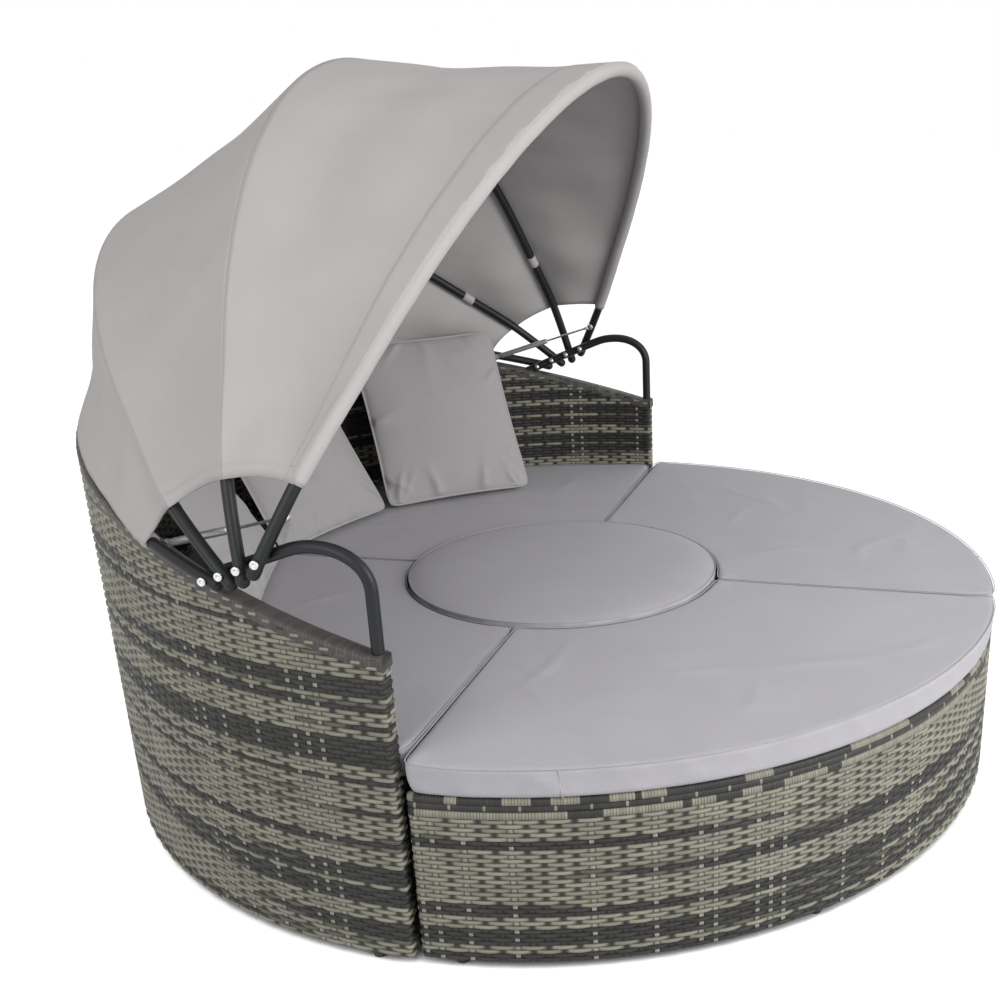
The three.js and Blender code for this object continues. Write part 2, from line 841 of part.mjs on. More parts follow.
function ringCushion(inner, outer) {
  const points = [];
  const triangles = [];
  const stations = [];
  for (const squeeze of [cushionCorner, 0]) stations.push([squeeze, squeeze === 0 ? cushionCorner : 0, 0]);
  for (let i = 1; i < cushionSteps; i += 1) stations.push([0, 0, i / cushionSteps]);
  for (const squeeze of [0, cushionCorner]) stations.push([squeeze, squeeze === 0 ? cushionCorner : 0, 1]);
  const size = cushionSection(inner, outer, 0).length;
  for (const [squeeze, draw, share] of stations) {
    for (const [radius, height] of cushionSection(inner, outer, squeeze)) {
      const inset = cushionGap / 2 + sideInset / 2 + draw;
      const start = Math.asin(inset / radius);
      const angle = start + (Math.PI / 2 - start - start) * share;
      points.push(new THREE.Vector3(radius * Math.cos(angle), radius * Math.sin(angle), height));
    }
  }
  for (let i = 0; i < stations.length - 1; i += 1) {
    for (let j = 0; j < size; j += 1) {
      const a = i * size + j;
      const b = i * size + ((j + 1) % size);
      triangles.push(a, b, b + size, a, b + size, a + size);
    }
  }
  for (const [station, flip] of [[0, true], [stations.length - 1, false]]) {
    const first = station * size;
    for (let j = 1; j < size - 1; j += 1) {
      if (flip) triangles.push(first, first + j + 1, first + j);
      else triangles.push(first, first + j, first + j + 1);
    }
  }
  return gridGeometry(points, triangles);
}

function tableCushion() {
  const radius = tableRadius + tableCushionOverhang;
  const half = cushionCorner / 2;
  const profile = [
    [0, 0],
    [radius - cushionCorner, 0],
    [radius, half],
    [radius - borderDrawIn, cushionThickness / 2],
    [radius, cushionThickness - half],
    [radius - cushionCorner, cushionThickness],
    [radius / 2, cushionThickness + cushionCrown * 0.8],
    [0, cushionThickness + cushionCrown],
  ];
  const points = profile.map(([r, z]) => new THREE.Vector2(r, z));
  const geometry = new THREE.LatheGeometry(points, tableCushionSides);
  geometry.rotateX(Math.PI / 2);
  return geometry;
}

// Throw pillow: two crowned faces that meet in a drawn-in edge between pointed corners
function pillow() {
  const cells = pillowCells;
  const points = [];
  const indexOf = new Map();
  const place = (i, j, face) => {
    const border = i === 0 || j === 0 || i === cells || j === cells;
    const key = border ? `${i},${j}` : `${i},${j},${face}`;
    if (!indexOf.has(key)) {
      const u = Math.sin(((i / cells) * 2 - 1) * (Math.PI / 2));
      const v = Math.sin(((j / cells) * 2 - 1) * (Math.PI / 2));
      const x = u * (pillowWidth / 2 - pillowDrawIn * (1 - v * v));
      const z = v * (pillowHeight / 2 - pillowDrawIn * (1 - u * u));
      const swell = ((1 - u * u) * (1 - v * v)) ** 0.5;
      indexOf.set(key, points.length);
      points.push(new THREE.Vector3(x, (face * swell * pillowThickness) / 2, z));
    }
    return indexOf.get(key);
  };
  const triangles = [];
  for (const face of [1, -1]) {
    for (let i = 0; i < cells; i += 1) {
      for (let j = 0; j < cells; j += 1) {
        const a = place(i, j, face);
        const b = place(i + 1, j, face);
        const c = place(i + 1, j + 1, face);
        const d = place(i, j + 1, face);
        if (face > 0) triangles.push(a, d, c, a, c, b);
        else triangles.push(a, b, c, a, c, d);
      }
    }
  }
  return gridGeometry(points, triangles);
}

// Assembly
const daybed = new THREE.Group();
const sides = [['left', -1], ['right', 1]];

daybed.add(named('sofa_wall_wicker', wallSkin(), wicker));
daybed.add(named('sofa_wall_frame', wallFrame(), innerSteel));
daybed.add(named('sofa_seat_wicker', seatSkin(), wicker));
daybed.add(named('sofa_seat_frame', seatFrame(), innerSteel));

const bowNames = ['canopy_bow_rear', 'canopy_bow_second', 'canopy_bow_third', 'canopy_bow_front'];
bowNames.forEach((name, index) => daybed.add(named(name, bow(index), blackTube)));

for (const [word, side] of sides) {
  daybed.add(named(`${word}_canopy_rail`, rail(side), blackTube));
  for (let index = 0; index < bowAngles.length; index += 1) {
    daybed.add(named(`${word}_pivot_bolt_${index + 1}`, pivotBolt(index, side), brightSteel));
  }
  daybed.add(named(`${word}_strut_cylinder`, strutCylinder(side), brightSteel));
  daybed.add(named(`${word}_strut_rod`, strutRod(side), brightSteel));
  daybed.add(named(`${word}_strut_rear_stud`, strutRearStud(side), brightSteel));
  daybed.add(named(`${word}_strut_front_stud`, strutFrontStud(side), brightSteel));
}

const panelNames = ['canopy_cloth_rear', 'canopy_cloth_middle', 'canopy_cloth_front'];
panelNames.forEach((name, index) => daybed.add(named(name, clothPanel(index, index + 1), canopyCloth)));

const wellCushion = wellRadius - wellCushionOverhang;
const sofaCushion = ringCushion(wellCushion, wallInner - cushionWallGap);
const stoolCushion = ringCushion(wellCushion, stoolRadius + cushionOverhang);
const quarters = [
  ['rear_right_seat_cushion', sofaCushion, 0],
  ['rear_left_seat_cushion', sofaCushion, 1],
  ['front_left_seat_cushion', stoolCushion, 2],
  ['front_right_seat_cushion', stoolCushion, 3],
];
for (const [name, geometry, turns] of quarters) {
  const cushion = named(name, geometry, seatCloth);
  cushion.rotation.z = (turns * Math.PI) / 2;
  cushion.position.z = seatHeight + touchGap;
  daybed.add(cushion);
}
const roundCushion = named('table_cushion', tableCushion(), seatCloth);
roundCushion.position.z = tableHeight + touchGap;
daybed.add(roundCushion);

['left_pillow', 'middle_pillow', 'right_pillow'].forEach((name, index) => {
  const stand = new THREE.Group();
  const cushion = named(name, pillow(), pillowCloth);
  const lean = pillowLean * degree;
  const half = pillowHeight / 2;
  const base = wallInner - pillowBackGap - pillowHeight * Math.sin(lean);
  cushion.rotation.x = -lean;
  cushion.position.y = base + half * Math.sin(lean);
  cushion.position.z = half * Math.cos(lean);
  stand.add(cushion);
  stand.rotation.z = pillowAngles[index] * degree - Math.PI / 2;
  stand.position.z = seatHeight + touchGap + cushionThickness + cushionCrown;
  daybed.add(stand);
});

const stoolTurns = { left: Math.PI, right: -Math.PI / 2 };
for (const [word] of sides) {
  const stool = new THREE.Group();
  stool.rotation.z = stoolTurns[word];
  stool.add(named(`${word}_stool_wicker`, stoolSkin(), wicker));
  stool.add(named(`${word}_stool_frame`, stoolFrame(), innerSteel));
  const outerFoot = stoolRadius - footInset;
  const places = stoolFootShares.map((share) => [outerFoot, (share * Math.PI) / 2]);
  places.push([wellRadius + footInset, Math.PI / 4]);
  places.forEach(([reach, angle], index) => {
    const part = named(`${word}_stool_foot_${index + 1}`, foot(), blackRubber);
    part.position.set(reach * Math.cos(angle), reach * Math.sin(angle), 0);
    stool.add(part);
  });
  daybed.add(stool);
}

daybed.add(named('table_wicker', tableSkin(), wicker));
daybed.add(named('table_frame', tableFrame(), innerSteel));
tableFootShares.forEach((share, index) => {
  const part = named(`table_foot_${index + 1}`, foot(), blackRubber);
  const reach = tableRadius - footInset;
  part.position.set(reach * Math.cos(share * Math.PI * 2), reach * Math.sin(share * Math.PI * 2), 0);
  daybed.add(part);
});

const sofaFeet = sofaFootShares.map((share) => [railRadius, share * Math.PI]);
sofaFeet.push([wellRadius + footInset, Math.PI / 2]);
sofaFeet.forEach(([reach, angle], index) => {
  const part = named(`sofa_foot_${index + 1}`, foot(), blackRubber);
  part.position.set(reach * Math.cos(angle), reach * Math.sin(angle), 0);
  daybed.add(part);
});

// The origin is the middle of the bounding box's base
const bounds = new THREE.Box3().setFromObject(daybed, true);
const middle = bounds.getCenter(new THREE.Vector3());
daybed.position.set(-middle.x, -middle.y, -bounds.min.z);

export default daybed;
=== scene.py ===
import json
import math
import bpy
import numpy as np
from mathutils import Matrix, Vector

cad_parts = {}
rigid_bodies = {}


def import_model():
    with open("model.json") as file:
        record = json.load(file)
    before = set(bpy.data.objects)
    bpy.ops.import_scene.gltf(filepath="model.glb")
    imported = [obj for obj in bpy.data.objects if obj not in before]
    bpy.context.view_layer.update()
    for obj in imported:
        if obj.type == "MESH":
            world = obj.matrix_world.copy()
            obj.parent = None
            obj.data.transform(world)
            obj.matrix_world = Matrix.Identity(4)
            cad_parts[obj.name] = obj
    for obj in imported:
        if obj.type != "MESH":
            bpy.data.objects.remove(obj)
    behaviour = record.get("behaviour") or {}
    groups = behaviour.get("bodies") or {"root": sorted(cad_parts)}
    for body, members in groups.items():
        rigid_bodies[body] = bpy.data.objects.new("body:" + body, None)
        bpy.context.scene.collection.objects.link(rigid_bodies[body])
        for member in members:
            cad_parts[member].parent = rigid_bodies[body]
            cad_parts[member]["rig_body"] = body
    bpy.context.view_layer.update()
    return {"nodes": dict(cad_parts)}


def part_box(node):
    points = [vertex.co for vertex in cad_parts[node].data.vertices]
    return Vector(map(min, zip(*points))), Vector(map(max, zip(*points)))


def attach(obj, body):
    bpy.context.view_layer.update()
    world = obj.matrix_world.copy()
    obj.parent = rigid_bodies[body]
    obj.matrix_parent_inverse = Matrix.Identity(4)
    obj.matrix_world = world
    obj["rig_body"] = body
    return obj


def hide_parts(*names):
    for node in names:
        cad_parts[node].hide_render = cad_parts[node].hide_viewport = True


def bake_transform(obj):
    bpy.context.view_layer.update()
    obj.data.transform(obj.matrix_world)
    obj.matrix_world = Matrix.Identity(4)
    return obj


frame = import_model()
degree = math.pi / 180
lowTable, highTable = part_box("table_wicker")
# the ring's axis stands this far behind the origin
ringY = (lowTable.y + highTable.y) / 2


# Shading: a socket with arithmetic, and a graph that makes nodes
def operation(name, reflected=False):
    def method(self, *others):
        values = (*others, self) if reflected else (self, *others)
        return self.graph.maths(name, *values)
    return method


class Signal:
    def __init__(self, graph, socket):
        self.graph = graph
        self.socket = socket

    __add__ = operation("ADD")
    __radd__ = operation("ADD", True)
    __sub__ = operation("SUBTRACT")
    __rsub__ = operation("SUBTRACT", True)
    __mul__ = operation("MULTIPLY")
    __rmul__ = operation("MULTIPLY", True)
    __truediv__ = operation("DIVIDE")
    __gt__ = operation("GREATER_THAN")
    __lt__ = operation("LESS_THAN")
    floor = operation("FLOOR")
    nearest = operation("ROUND")
    size = operation("ABSOLUTE")
    sine = operation("SINE")
    cosine = operation("COSINE")
    modulo = operation("FLOORED_MODULO")
    larger = operation("MAXIMUM")

    def ramp(self, low, high, bottom=0.0, top=1.0):
        values = {"Value": self, "From Min": low, "From Max": high, "To Min": bottom, "To Max": top}
        return self.graph.node("ShaderNodeMapRange", {"interpolation_type": "SMOOTHSTEP"}, values)


class Graph:
    def __init__(self, owner):
        self.owner = owner
        owner.use_nodes = True
        self.tree = owner.node_tree
        self.tree.nodes.clear()

    def feed(self, socket, value):
        if isinstance(value, Signal):
            self.tree.links.new(value.socket, socket)
        else:
            socket.default_value = (*value, 1) if socket.type == "RGBA" else value

    def node(self, kind, settings, values, output=0):
        node = self.tree.nodes.new(kind)
        for key, value in settings.items():
            setattr(node, key, value)
        for key, value in values.items():
            self.feed(node.inputs[key], value)
        return Signal(self, node.outputs[output])

    def maths(self, name, *values):
        return self.node("ShaderNodeMath", {"operation": name}, dict(enumerate(values)))

    def vector(self, x, y, z=0.0):
        return self.node("ShaderNodeCombineXYZ", {}, {"X": x, "Y": y, "Z": z})

    def split(self, vector):
        return [self.node("ShaderNodeSeparateXYZ", {}, {"Vector": vector}, axis) for axis in "XYZ"]

    def uv(self):
        return self.split(self.node("ShaderNodeUVMap", {"uv_map": "weave"}, {}))[:2]

    def place(self):
        return self.node("ShaderNodeTexCoord", {}, {}, "Object")

    def noise(self, vector, detail, scale=1.0, roughness=0.5):
        values = {"Vector": vector, "Scale": scale, "Detail": detail, "Roughness": roughness}
        return self.node("ShaderNodeTexNoise", {"noise_dimensions": "3D"}, values)

    def chance(self, vector):
        return self.node("ShaderNodeTexWhiteNoise", {"noise_dimensions": "3D"}, {"Vector": vector})

    def mix(self, factor, first, second):
        values = {0: factor, 6: first, 7: second}
        return self.node("ShaderNodeMix", {"data_type": "RGBA"}, values, 2)

    def shaded(self, color, factor):
        values = {0: color, 1: self.vector(factor, factor, factor)}
        return self.node("ShaderNodeVectorMath", {"operation": "MULTIPLY"}, values)

    def bump(self, height, distance, strength):
        values = {"Height": height, "Distance": distance, "Strength": strength}
        return self.node("ShaderNodeBump", {}, values)

    def finish(self, values, shader="BsdfPrincipled", output="OutputMaterial"):
        surface = self.node("ShaderNode" + shader, {}, values)
        end = self.tree.nodes.new("ShaderNode" + output)
        self.feed(end.inputs["Surface"], surface)
        return self.owner


# Flat poly-rattan woven round stakes: u counts stakes, v counts rows of strands
strandLook = {
    "light": (0.238, 0.23, 0.182),
    "middle": (0.1, 0.097, 0.08),
    "dark": (0.034, 0.0332, 0.031),
    "lightStake": (0.27, 0.264, 0.22),
    "darkStake": (0.036, 0.034, 0.031),
    "lightStakeShare": 0.3,
    "stakeHalf": 0.15,
    "bandPerRow": 0.36,
    "bandPerSegment": 0.03,
    "middleFrom": 0.455,
    "lightFrom": 0.485,
    "shine": 0.25,
    "relief": 0.0005,
    "deckRelief": 0.0012,
}


def wickerMaterial(name, isDeck):
    g = Graph(bpy.data.materials.new(name))
    look = strandLook
    u, v = g.uv()
    row = v.floor()
    across = (v - row - 0.5).size()
    stake = u.nearest()
    aside = (u - stake).size()
    behind = (stake + row).modulo(2.0)
    onStake = behind * (aside < look["stakeHalf"])
    # a strand's colour changes slowly along it and from row to row, so that bands form
    segment = ((u + row) / 2.0).nearest()
    band = g.noise(g.vector(segment * look["bandPerSegment"], row * look["bandPerRow"], 0.4), 0.0)
    strand = g.mix(band > look["middleFrom"], look["dark"], look["middle"])
    strand = g.mix(band > look["lightFrom"], strand, look["light"])
    lightOne = g.chance(g.vector(stake, 3.0)) < look["lightStakeShare"]
    color = g.mix(onStake, strand, g.mix(lightOne, look["darkStake"], look["lightStake"]))
    jitter = g.chance(g.vector(segment, row, 7.0)) * 0.34 + 0.8
    streak = g.noise(g.vector(u * 2.6, v * 9.0, 2.0), 2.0) * 0.5 + 0.75
    # painted shade: the strands' colour darkens towards each row's edges, in the grooves between rows
    groove = across.ramp(0.27, 0.5, 1.0, 0.22)
    # painted shade: beside a stake, where the strand dives behind it, its colour darkens
    paintedStakeShade = 1.0 - behind * aside.ramp(0.36, 0.17, 0.0, 1.0) * (1.0 - onStake) * 0.6
    height = g.noise(g.vector(u * 3.0, v * 13.0, 5.0), 2.0) * 0.5
    if isDeck:
        # the deck's mesh is flat, so the strands' swing is in its bump
        swing = (u * math.pi).cosine() * (1.0 - row.modulo(2.0) * 2.0)
        height = height * 0.25 + swing * 0.5 - across.ramp(0.3, 0.5)
    return g.finish({
        "Base Color": g.shaded(color, jitter * streak * groove * paintedStakeShade),
        "Roughness": streak.ramp(0.75, 1.25, 0.42, 0.6),
        "Normal": g.bump(height, look["deckRelief"] if isDeck else look["relief"], 0.6),
        "Specular IOR Level": look["shine"],
    })


# Wrapped rims: u counts wraps, v is the height on the rim in millimetres, 278 to 315.
# Ribs lie below, then a smooth strand, then the wrapped top edge
rimLook = {"ribsEnd": 292.0, "strandEnd": 303.0, "tieEvery": 11.0}


def rimMaterial(name):
    g = Graph(bpy.data.materials.new(name))
    u, v = g.uv()
    wrap = u.floor()
    edge = (u - wrap - 0.5).size()
    light, dark = strandLook["light"], strandLook["dark"]
    wraps = g.mix(g.noise(g.vector(wrap * 0.11, 0.5), 0.0) > 0.5, dark, light)
    ribs = g.mix(g.noise(g.vector(wrap * 0.09, 4.5), 0.0) > 0.42, dark, light)
    tie = wrap.modulo(rimLook["tieEvery"]) < 0.5
    aboveRibs = v > rimLook["ribsEnd"]
    color = g.mix(aboveRibs, ribs, g.mix(tie, dark, light))
    color = g.mix(v > rimLook["strandEnd"], color, wraps)
    plain = aboveRibs * (v < rimLook["strandEnd"]) * (1.0 - tie)
    # painted shade: each wrap darkens towards its edges, in the grooves between wraps, but not on the plain
    # strand
    groove = edge.ramp(0.32, 0.5, 1.0, 0.4)
    groove = groove + plain * (1.0 - groove)
    # painted shade: a dark line in the recess below the smooth strand and a lighter one in the recess above
    # it
    seam = (v - rimLook["ribsEnd"]).size().ramp(0.6, 2.2, 0.12, 1.0)
    seam = seam * (v - rimLook["strandEnd"] - 0.2).size().ramp(0.3, 1.6, 0.45, 1.0)
    jitter = g.chance(g.vector(wrap, 1.0, 3.0)) * 0.3 + 0.84
    streak = g.noise(g.vector(u * 5.0, v * 0.3, 1.0), 2.0) * 0.3 + 0.85
    return g.finish({
        "Base Color": g.shaded(color, groove * seam * jitter * streak),
        "Roughness": 0.5,
        "Normal": g.bump(groove, 0.001, 0.7),
        "Specular IOR Level": strandLook["shine"],
    })


# The dark wrapped edge along the wall's top: u counts wraps along the wall
def trimMaterial(name):
    g = Graph(bpy.data.materials.new(name))
    u, v = g.uv()
    wrap = u.floor()
    edge = (u - wrap - 0.5).size()
    group = g.noise(g.vector(wrap * 0.05, 8.5), 0.0)
    color = g.mix(group > 0.62, (0.075, 0.072, 0.068), strandLook["middle"])
    jitter = g.chance(g.vector(wrap, 2.0, 3.0)) * 0.36 + 0.8
    # painted shade: each wrap darkens towards its edges, in the grooves between wraps
    groove = edge.ramp(0.36, 0.5, 1.0, 0.5)
    streak = g.noise(g.vector(u * 6.0, v * 3.0, 1.0), 2.0) * 0.4 + 0.8
    return g.finish({
        "Base Color": g.shaded(color, groove * jitter * streak),
        "Roughness": 0.48,
        "Normal": g.bump(groove, 0.001, 0.6),
        "Specular IOR Level": strandLook["shine"],
    })


# Plain outdoor cloth: crossed threads, soft mottling and faint slubs
def clothMaterial(name, color, thread, sheen):
    g = Graph(bpy.data.materials.new(name))
    place = g.place()
    x, y, z = g.split(place)
    mottle = g.noise(place, 3.0, 9.0, 0.6) * 0.12 + 0.94
    slub = g.noise(g.vector(x * 90.0, y * 900.0, z * 900.0), 2.0) * 0.5
    slub = slub + g.noise(g.vector(x * 900.0, y * 90.0, z * 90.0), 2.0) * 0.5
    turn = 2 * math.pi / thread
    weave = ((x + z) * turn).sine() * ((y - z) * turn).sine()
    return g.finish({
        "Base Color": g.shaded(color, mottle * (slub * 0.16 + 0.92)),
        "Roughness": slub.ramp(0.2, 0.8, 0.84, 0.97),
        "Normal": g.bump(weave * 0.3 + slub, 0.0006, 0.5),
        "Sheen Weight": sheen,
        "Sheen Roughness": 0.5,
        "Specular IOR Level": 0.25,
    })


# Powder-coated and bare metal, with a fine surface and a little wear in the coat
def metalMaterial(name, color, metallic, roughness, grain, shine=0.5):
    g = Graph(bpy.data.materials.new(name))
    place = g.place()
    fine = g.noise(place, 2.0, grain)
    broad = g.noise(place, 2.0, 14.0)
    return g.finish({
        "Base Color": g.shaded(color, fine * 0.18 + broad * 0.2 + 0.81),
        "Roughness": fine.ramp(0.2, 0.8, roughness - 0.07, roughness + 0.09),
        "Metallic": metallic,
        "Specular IOR Level": shine,
        "Normal": g.bump(fine, 0.0002, 0.4),
    })


wicker = wickerMaterial("wicker_weave", False)
wickerDeck = wickerMaterial("wicker_deck", True)
rimWicker = rimMaterial("wicker_rim")
trimWicker = trimMaterial("wicker_trim")
blackTube = metalMaterial("black_coat", (0.010, 0.0118, 0.0128), 0.0, 0.42, 1600.0, 0.28)
capPlastic = metalMaterial("black_cap", (0.007, 0.008, 0.0085), 0.0, 0.5, 900.0, 0.3)
innerCoat = metalMaterial("inner_coat", (0.04, 0.042, 0.045), 0.0, 0.55, 700.0)
brightSteel = metalMaterial("bright_steel", (0.62, 0.63, 0.64), 1.0, 0.26, 1200.0)
strutCoat = metalMaterial("strut_coat", (0.36, 0.37, 0.38), 0.6, 0.36, 1500.0)
footPlastic = metalMaterial("foot_plastic", (0.008, 0.008, 0.008), 0.0, 0.6, 500.0)
seatCloth = clothMaterial("seat_cloth", (0.412, 0.402, 0.428), 0.0016, 0.1)
pillowCloth = clothMaterial("pillow_cloth", (0.366, 0.352, 0.358), 0.0016, 0.1)
canopyCloth = clothMaterial("canopy_cloth", (0.43, 0.412, 0.408), 0.0014, 0.05)


def linked(name, data):
    obj = bpy.data.objects.new(name, data)
    bpy.context.scene.collection.objects.link(obj)
    return obj


# Meshes from arrays of points and faces, with one UV pair for each face corner
def addObject(name, points, faces, material, body, slotName, nodes=(), uv=None):
    points = np.asarray(points, float) + (0, ringY, 0)
    mesh = bpy.data.meshes.new(name)
    mesh.from_pydata(points.tolist(), [], faces if isinstance(faces, list) else faces.tolist())
    if uv is not None:
        layer = mesh.uv_layers.new(name="weave")
        layer.data.foreach_set("uv", np.asarray(uv, np.float32).ravel())
    mesh.shade_smooth()
    mesh.materials.append(material)
    obj = linked(name, mesh)
    if body:
        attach(obj, body)
    if nodes:
        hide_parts(*nodes)
    return obj


# Directions of length one
def unit(vectors):
    return vectors / np.maximum(np.linalg.norm(vectors, axis=-1, keepdims=True), 1e-12)


# Points at radii and angles about the ring's axis, in plan or at heights
def polar(radius, angle, z=None):
    plan = [radius * np.cos(angle), radius * np.sin(angle)]
    return np.stack(plan if z is None else [*plan, z + np.zeros_like(plan[0])], -1)


# Faces of a grid of rows by columns, numbered row by row
def gridFaces(rows, columns, wrapRows=False, wrapColumns=False):
    r = np.arange(rows if wrapRows else rows - 1)
    c = np.arange(columns if wrapColumns else columns - 1)
    r, c = np.meshgrid(r, c, indexing="ij")
    r1, c1 = (r + 1) % rows, (c + 1) % columns
    quads = [r * columns + c, r * columns + c1, r1 * columns + c1, r1 * columns + c]
    return np.stack(quads, -1).reshape(-1, 4)


# The UV pairs of a grid's face corners, from one value for each column and each row
def gridUv(u, v):
    r, c = np.meshgrid(np.arange(len(v) - 1), np.arange(len(u) - 1), indexing="ij")
    corners = [(r, c), (r, c + 1), (r + 1, c + 1), (r + 1, c)]
    return np.stack([np.stack([u[b], v[a]], -1) for a, b in corners], -2).reshape(-1, 4, 2)


# The loop round a grid's border, as places in its numbering
def borderLoop(rows, columns):
    ids = np.arange(rows * columns).reshape(rows, columns)
    return np.concatenate([ids[0], ids[1:, -1], ids[-1, -2::-1], ids[-2:0:-1, 0]])


# Paths in plan carry the length that is covered at each of their points
def measured(points, closed=False):
    s = np.append(0, np.cumsum(np.hypot(*np.diff(points, axis=0).T)))
    return {"s": s, "points": points, "length": s[-1], "closed": closed}


paths = {"step": 0.004, "cornerSteps": 8, "slopeStep": 0.0015, "arcSteps": 400}


# A path through pieces that meet in corners, each corner rounded by a quadratic curve
def planPath(pieces, corner, closed):
    dense = []
    last = len(pieces) - 1
    for index, piece in enumerate(pieces):
        length = measured(piece)["s"]
        start = corner if closed or index > 0 else 0
        end = length[-1] - (corner if closed or index < last else 0)
        s = np.linspace(start, end, max(2, int((end - start) / paths["step"])))
        dense.append(np.stack([np.interp(s, length, piece[:, k]) for k in (0, 1)], 1))
    points = []
    t = np.linspace(0, 1, paths["cornerSteps"])[1:-1, None]
    for index, part in enumerate(dense):
        points.append(part)
        if closed or index < last:
            after = dense[(index + 1) % len(dense)][0]
            points.append((1 - t) ** 2 * part[-1] + 2 * t * (1 - t) * pieces[index][-1] + t * t * after)
    if closed:
        points.append(points[0][:1])
    return measured(np.concatenate(points), closed)


# Places and outward normals at lengths along a path
def alongPath(path, s):
    step = paths["slopeStep"]

    def at(value):
        length = path["length"]
        value = value % length if path["closed"] else np.clip(value, 0, length)
        return np.stack([np.interp(value, path["s"], path["points"][:, k]) for k in (0, 1)], -1)

    tangent = unit(at(s + step) - at(s - step))
    return at(s), np.stack([tangent[..., 1], -tangent[..., 0]], -1)


# The ring's sizes, as the solids have them
ring = {
    "outer": 0.9,
    "wall": 0.036,
    "inset": 0.004,
    "stool": 0.892,
    "well": 0.338,
    "table": 0.318,
    "foot": 0.015,
    "seat": 0.315,
    "tableTop": 0.322,
    "armTop": 0.546,
    "armFlat": 0.03,
    "rearTop": 0.788,
    "rail": 0.882,
}
wallInner = ring["outer"] - ring["wall"]


# The wall's top is level at the arms' ends and then rises straight to the rear
def wallTop(y):
    slope = (ring["rearTop"] - ring["armTop"]) / (ring["outer"] - ring["armFlat"])
    return ring["armTop"] + np.maximum(0, y - ring["armFlat"]) * slope


# An arc whose ends keep the inset from the straight cuts
def arc(radius, start, end):
    trim = math.asin(ring["inset"] / radius) * np.sign(end - start)
    return polar(radius, np.linspace(start + trim, end - trim, paths["arcSteps"]))


# The outline of a sector of the ring, its straight sides set in by the inset
def sectorPath(inner, outer, sweep, corner):
    outside = arc(outer, 0, sweep)
    inside = arc(inner, sweep, 0)
    sides = np.array([outside[-1], inside[0]]), np.array([inside[-1], outside[0]])
    return planPath([outside, sides[0], inside, sides[1]], corner, True)


# Woven strands: a strand lies before every second stake and behind the others,
# and the next row does the opposite; between rows there is a narrow groove
weaveShape = {
    "stake": 0.0252,
    "columns": (-0.5, -0.26, -0.14, 0.14, 0.26),
    "rows": (0.0, 0.2, 0.8),
    "swing": 0.0016,
    "flatness": 3.2,
    "groove": 0.0015,
    "strip": 0.0003,
    "stripHalf": 0.2,
}


def stakeCount(path):
    return round(path["length"] / weaveShape["stake"] / 2) * 2


def weave(name, path, low, high, rows, body, nodes, seed, span=None, top=None, keep=None):
    shape = weaveShape
    count = stakeCount(path)
    first, last = span or (0, count)
    whole = path["closed"] and last - first == count
    stake = np.repeat(np.arange(first, last), len(shape["columns"]))
    offset = np.tile(shape["columns"], last - first)
    if not whole:
        stake, offset = np.append(stake, last), np.append(offset, -0.5)
    u = stake + offset
    row = np.append(np.repeat(np.arange(rows), len(shape["rows"])), rows)
    part = np.append(np.tile(shape["rows"], rows), 0.0)
    place, normal = alongPath(path, (u if path["closed"] else u + 0.5) / count * path["length"])
    swing = np.cos(math.pi * u) * (1 - 2 * (row % 2))[:, None]
    depth = shape["swing"] * np.tanh(shape["flatness"] * swing) / math.tanh(shape["flatness"])
    depth = np.where((swing < 0) & (np.abs(offset) < shape["stripHalf"]), -shape["strip"], depth)
    depth = np.where((part == 0)[:, None], -shape["groove"], depth)
    plan = place + normal * (depth - shape["swing"])[..., None]
    z = np.repeat((low + (high - low) * (row + part) / rows)[:, None], len(u), 1)
    faces = gridFaces(len(row), len(u), False, whole)
    uv = gridUv(np.append(u, last - 0.5) if whole else u, row + part + seed * 200.0)
    lost = np.zeros(len(faces), bool)
    if top is not None:
        # rows end at the wall's sloping top
        limit = top(plan[..., 1])
        lost = (z >= limit - 0.0004).ravel()[faces[:, :2]].all(1)
        z = np.minimum(z, limit)
    points = np.concatenate([plan, z[..., None]], -1).reshape(-1, 3)
    if keep is not None:
        lost |= ~keep(points[faces].mean(1))
    used, index = np.unique(faces[~lost], return_inverse=True)
    addObject(name, points[used], index.reshape(-1, 4), wicker, body, "wicker", nodes, uv[~lost])


# Stool and table rims: ribs, a smooth strand between grooves, and a wrapped top edge,
# as outward offsets and heights of a rim whose top is at the seat's height
rim = {
    "profile": (
        (-0.0035, 0.2775), (-0.0006, 0.2792), (0.0, 0.284), (-0.0006, 0.2892), (-0.0042, 0.2914),
        (-0.0042, 0.2926), (-0.0006, 0.294), (0.0, 0.298), (-0.0008, 0.302), (-0.0024, 0.3031),
        (-0.0004, 0.3044), (0.0, 0.3085), (-0.0016, 0.3132), (-0.006, 0.315), (-0.03, 0.3149),
    ),
    "weaveTop": 0.278,
    "weaveRows": 34,
    "wrap": 0.005,
    "step": 0.006,
}


def skirt(name, path, top, body, nodes, seed):
    rise = top - ring["seat"]
    weave(name + "_weave", path, ring["foot"], rim["weaveTop"] + rise, rim["weaveRows"], body, nodes, seed)
    s = np.linspace(0, path["length"], int(path["length"] / rim["step"]) + 1)
    offset, z = np.array(rim["profile"]).T
    uv = gridUv(s / rim["wrap"], z * 1000)
    if path["closed"]:
        s = s[:-1]
    place, normal = alongPath(path, s)
    plan = place + normal * offset[:, None, None]
    heights = np.repeat((z + rise)[:, None, None], len(s), 1)
    points = np.concatenate([plan, heights], -1).reshape(-1, 3)
    faces = gridFaces(len(z), len(s), False, path["closed"])
    addObject(name + "_rim", points, faces, rimWicker, body, "wicker", (), uv)


# A flat woven deck between two radii, in a quarter, a half or a full circle
decks = {"rows": 12, "columns": 90, "strand": 0.0078, "under": 0.0004, "gap": 0.02}


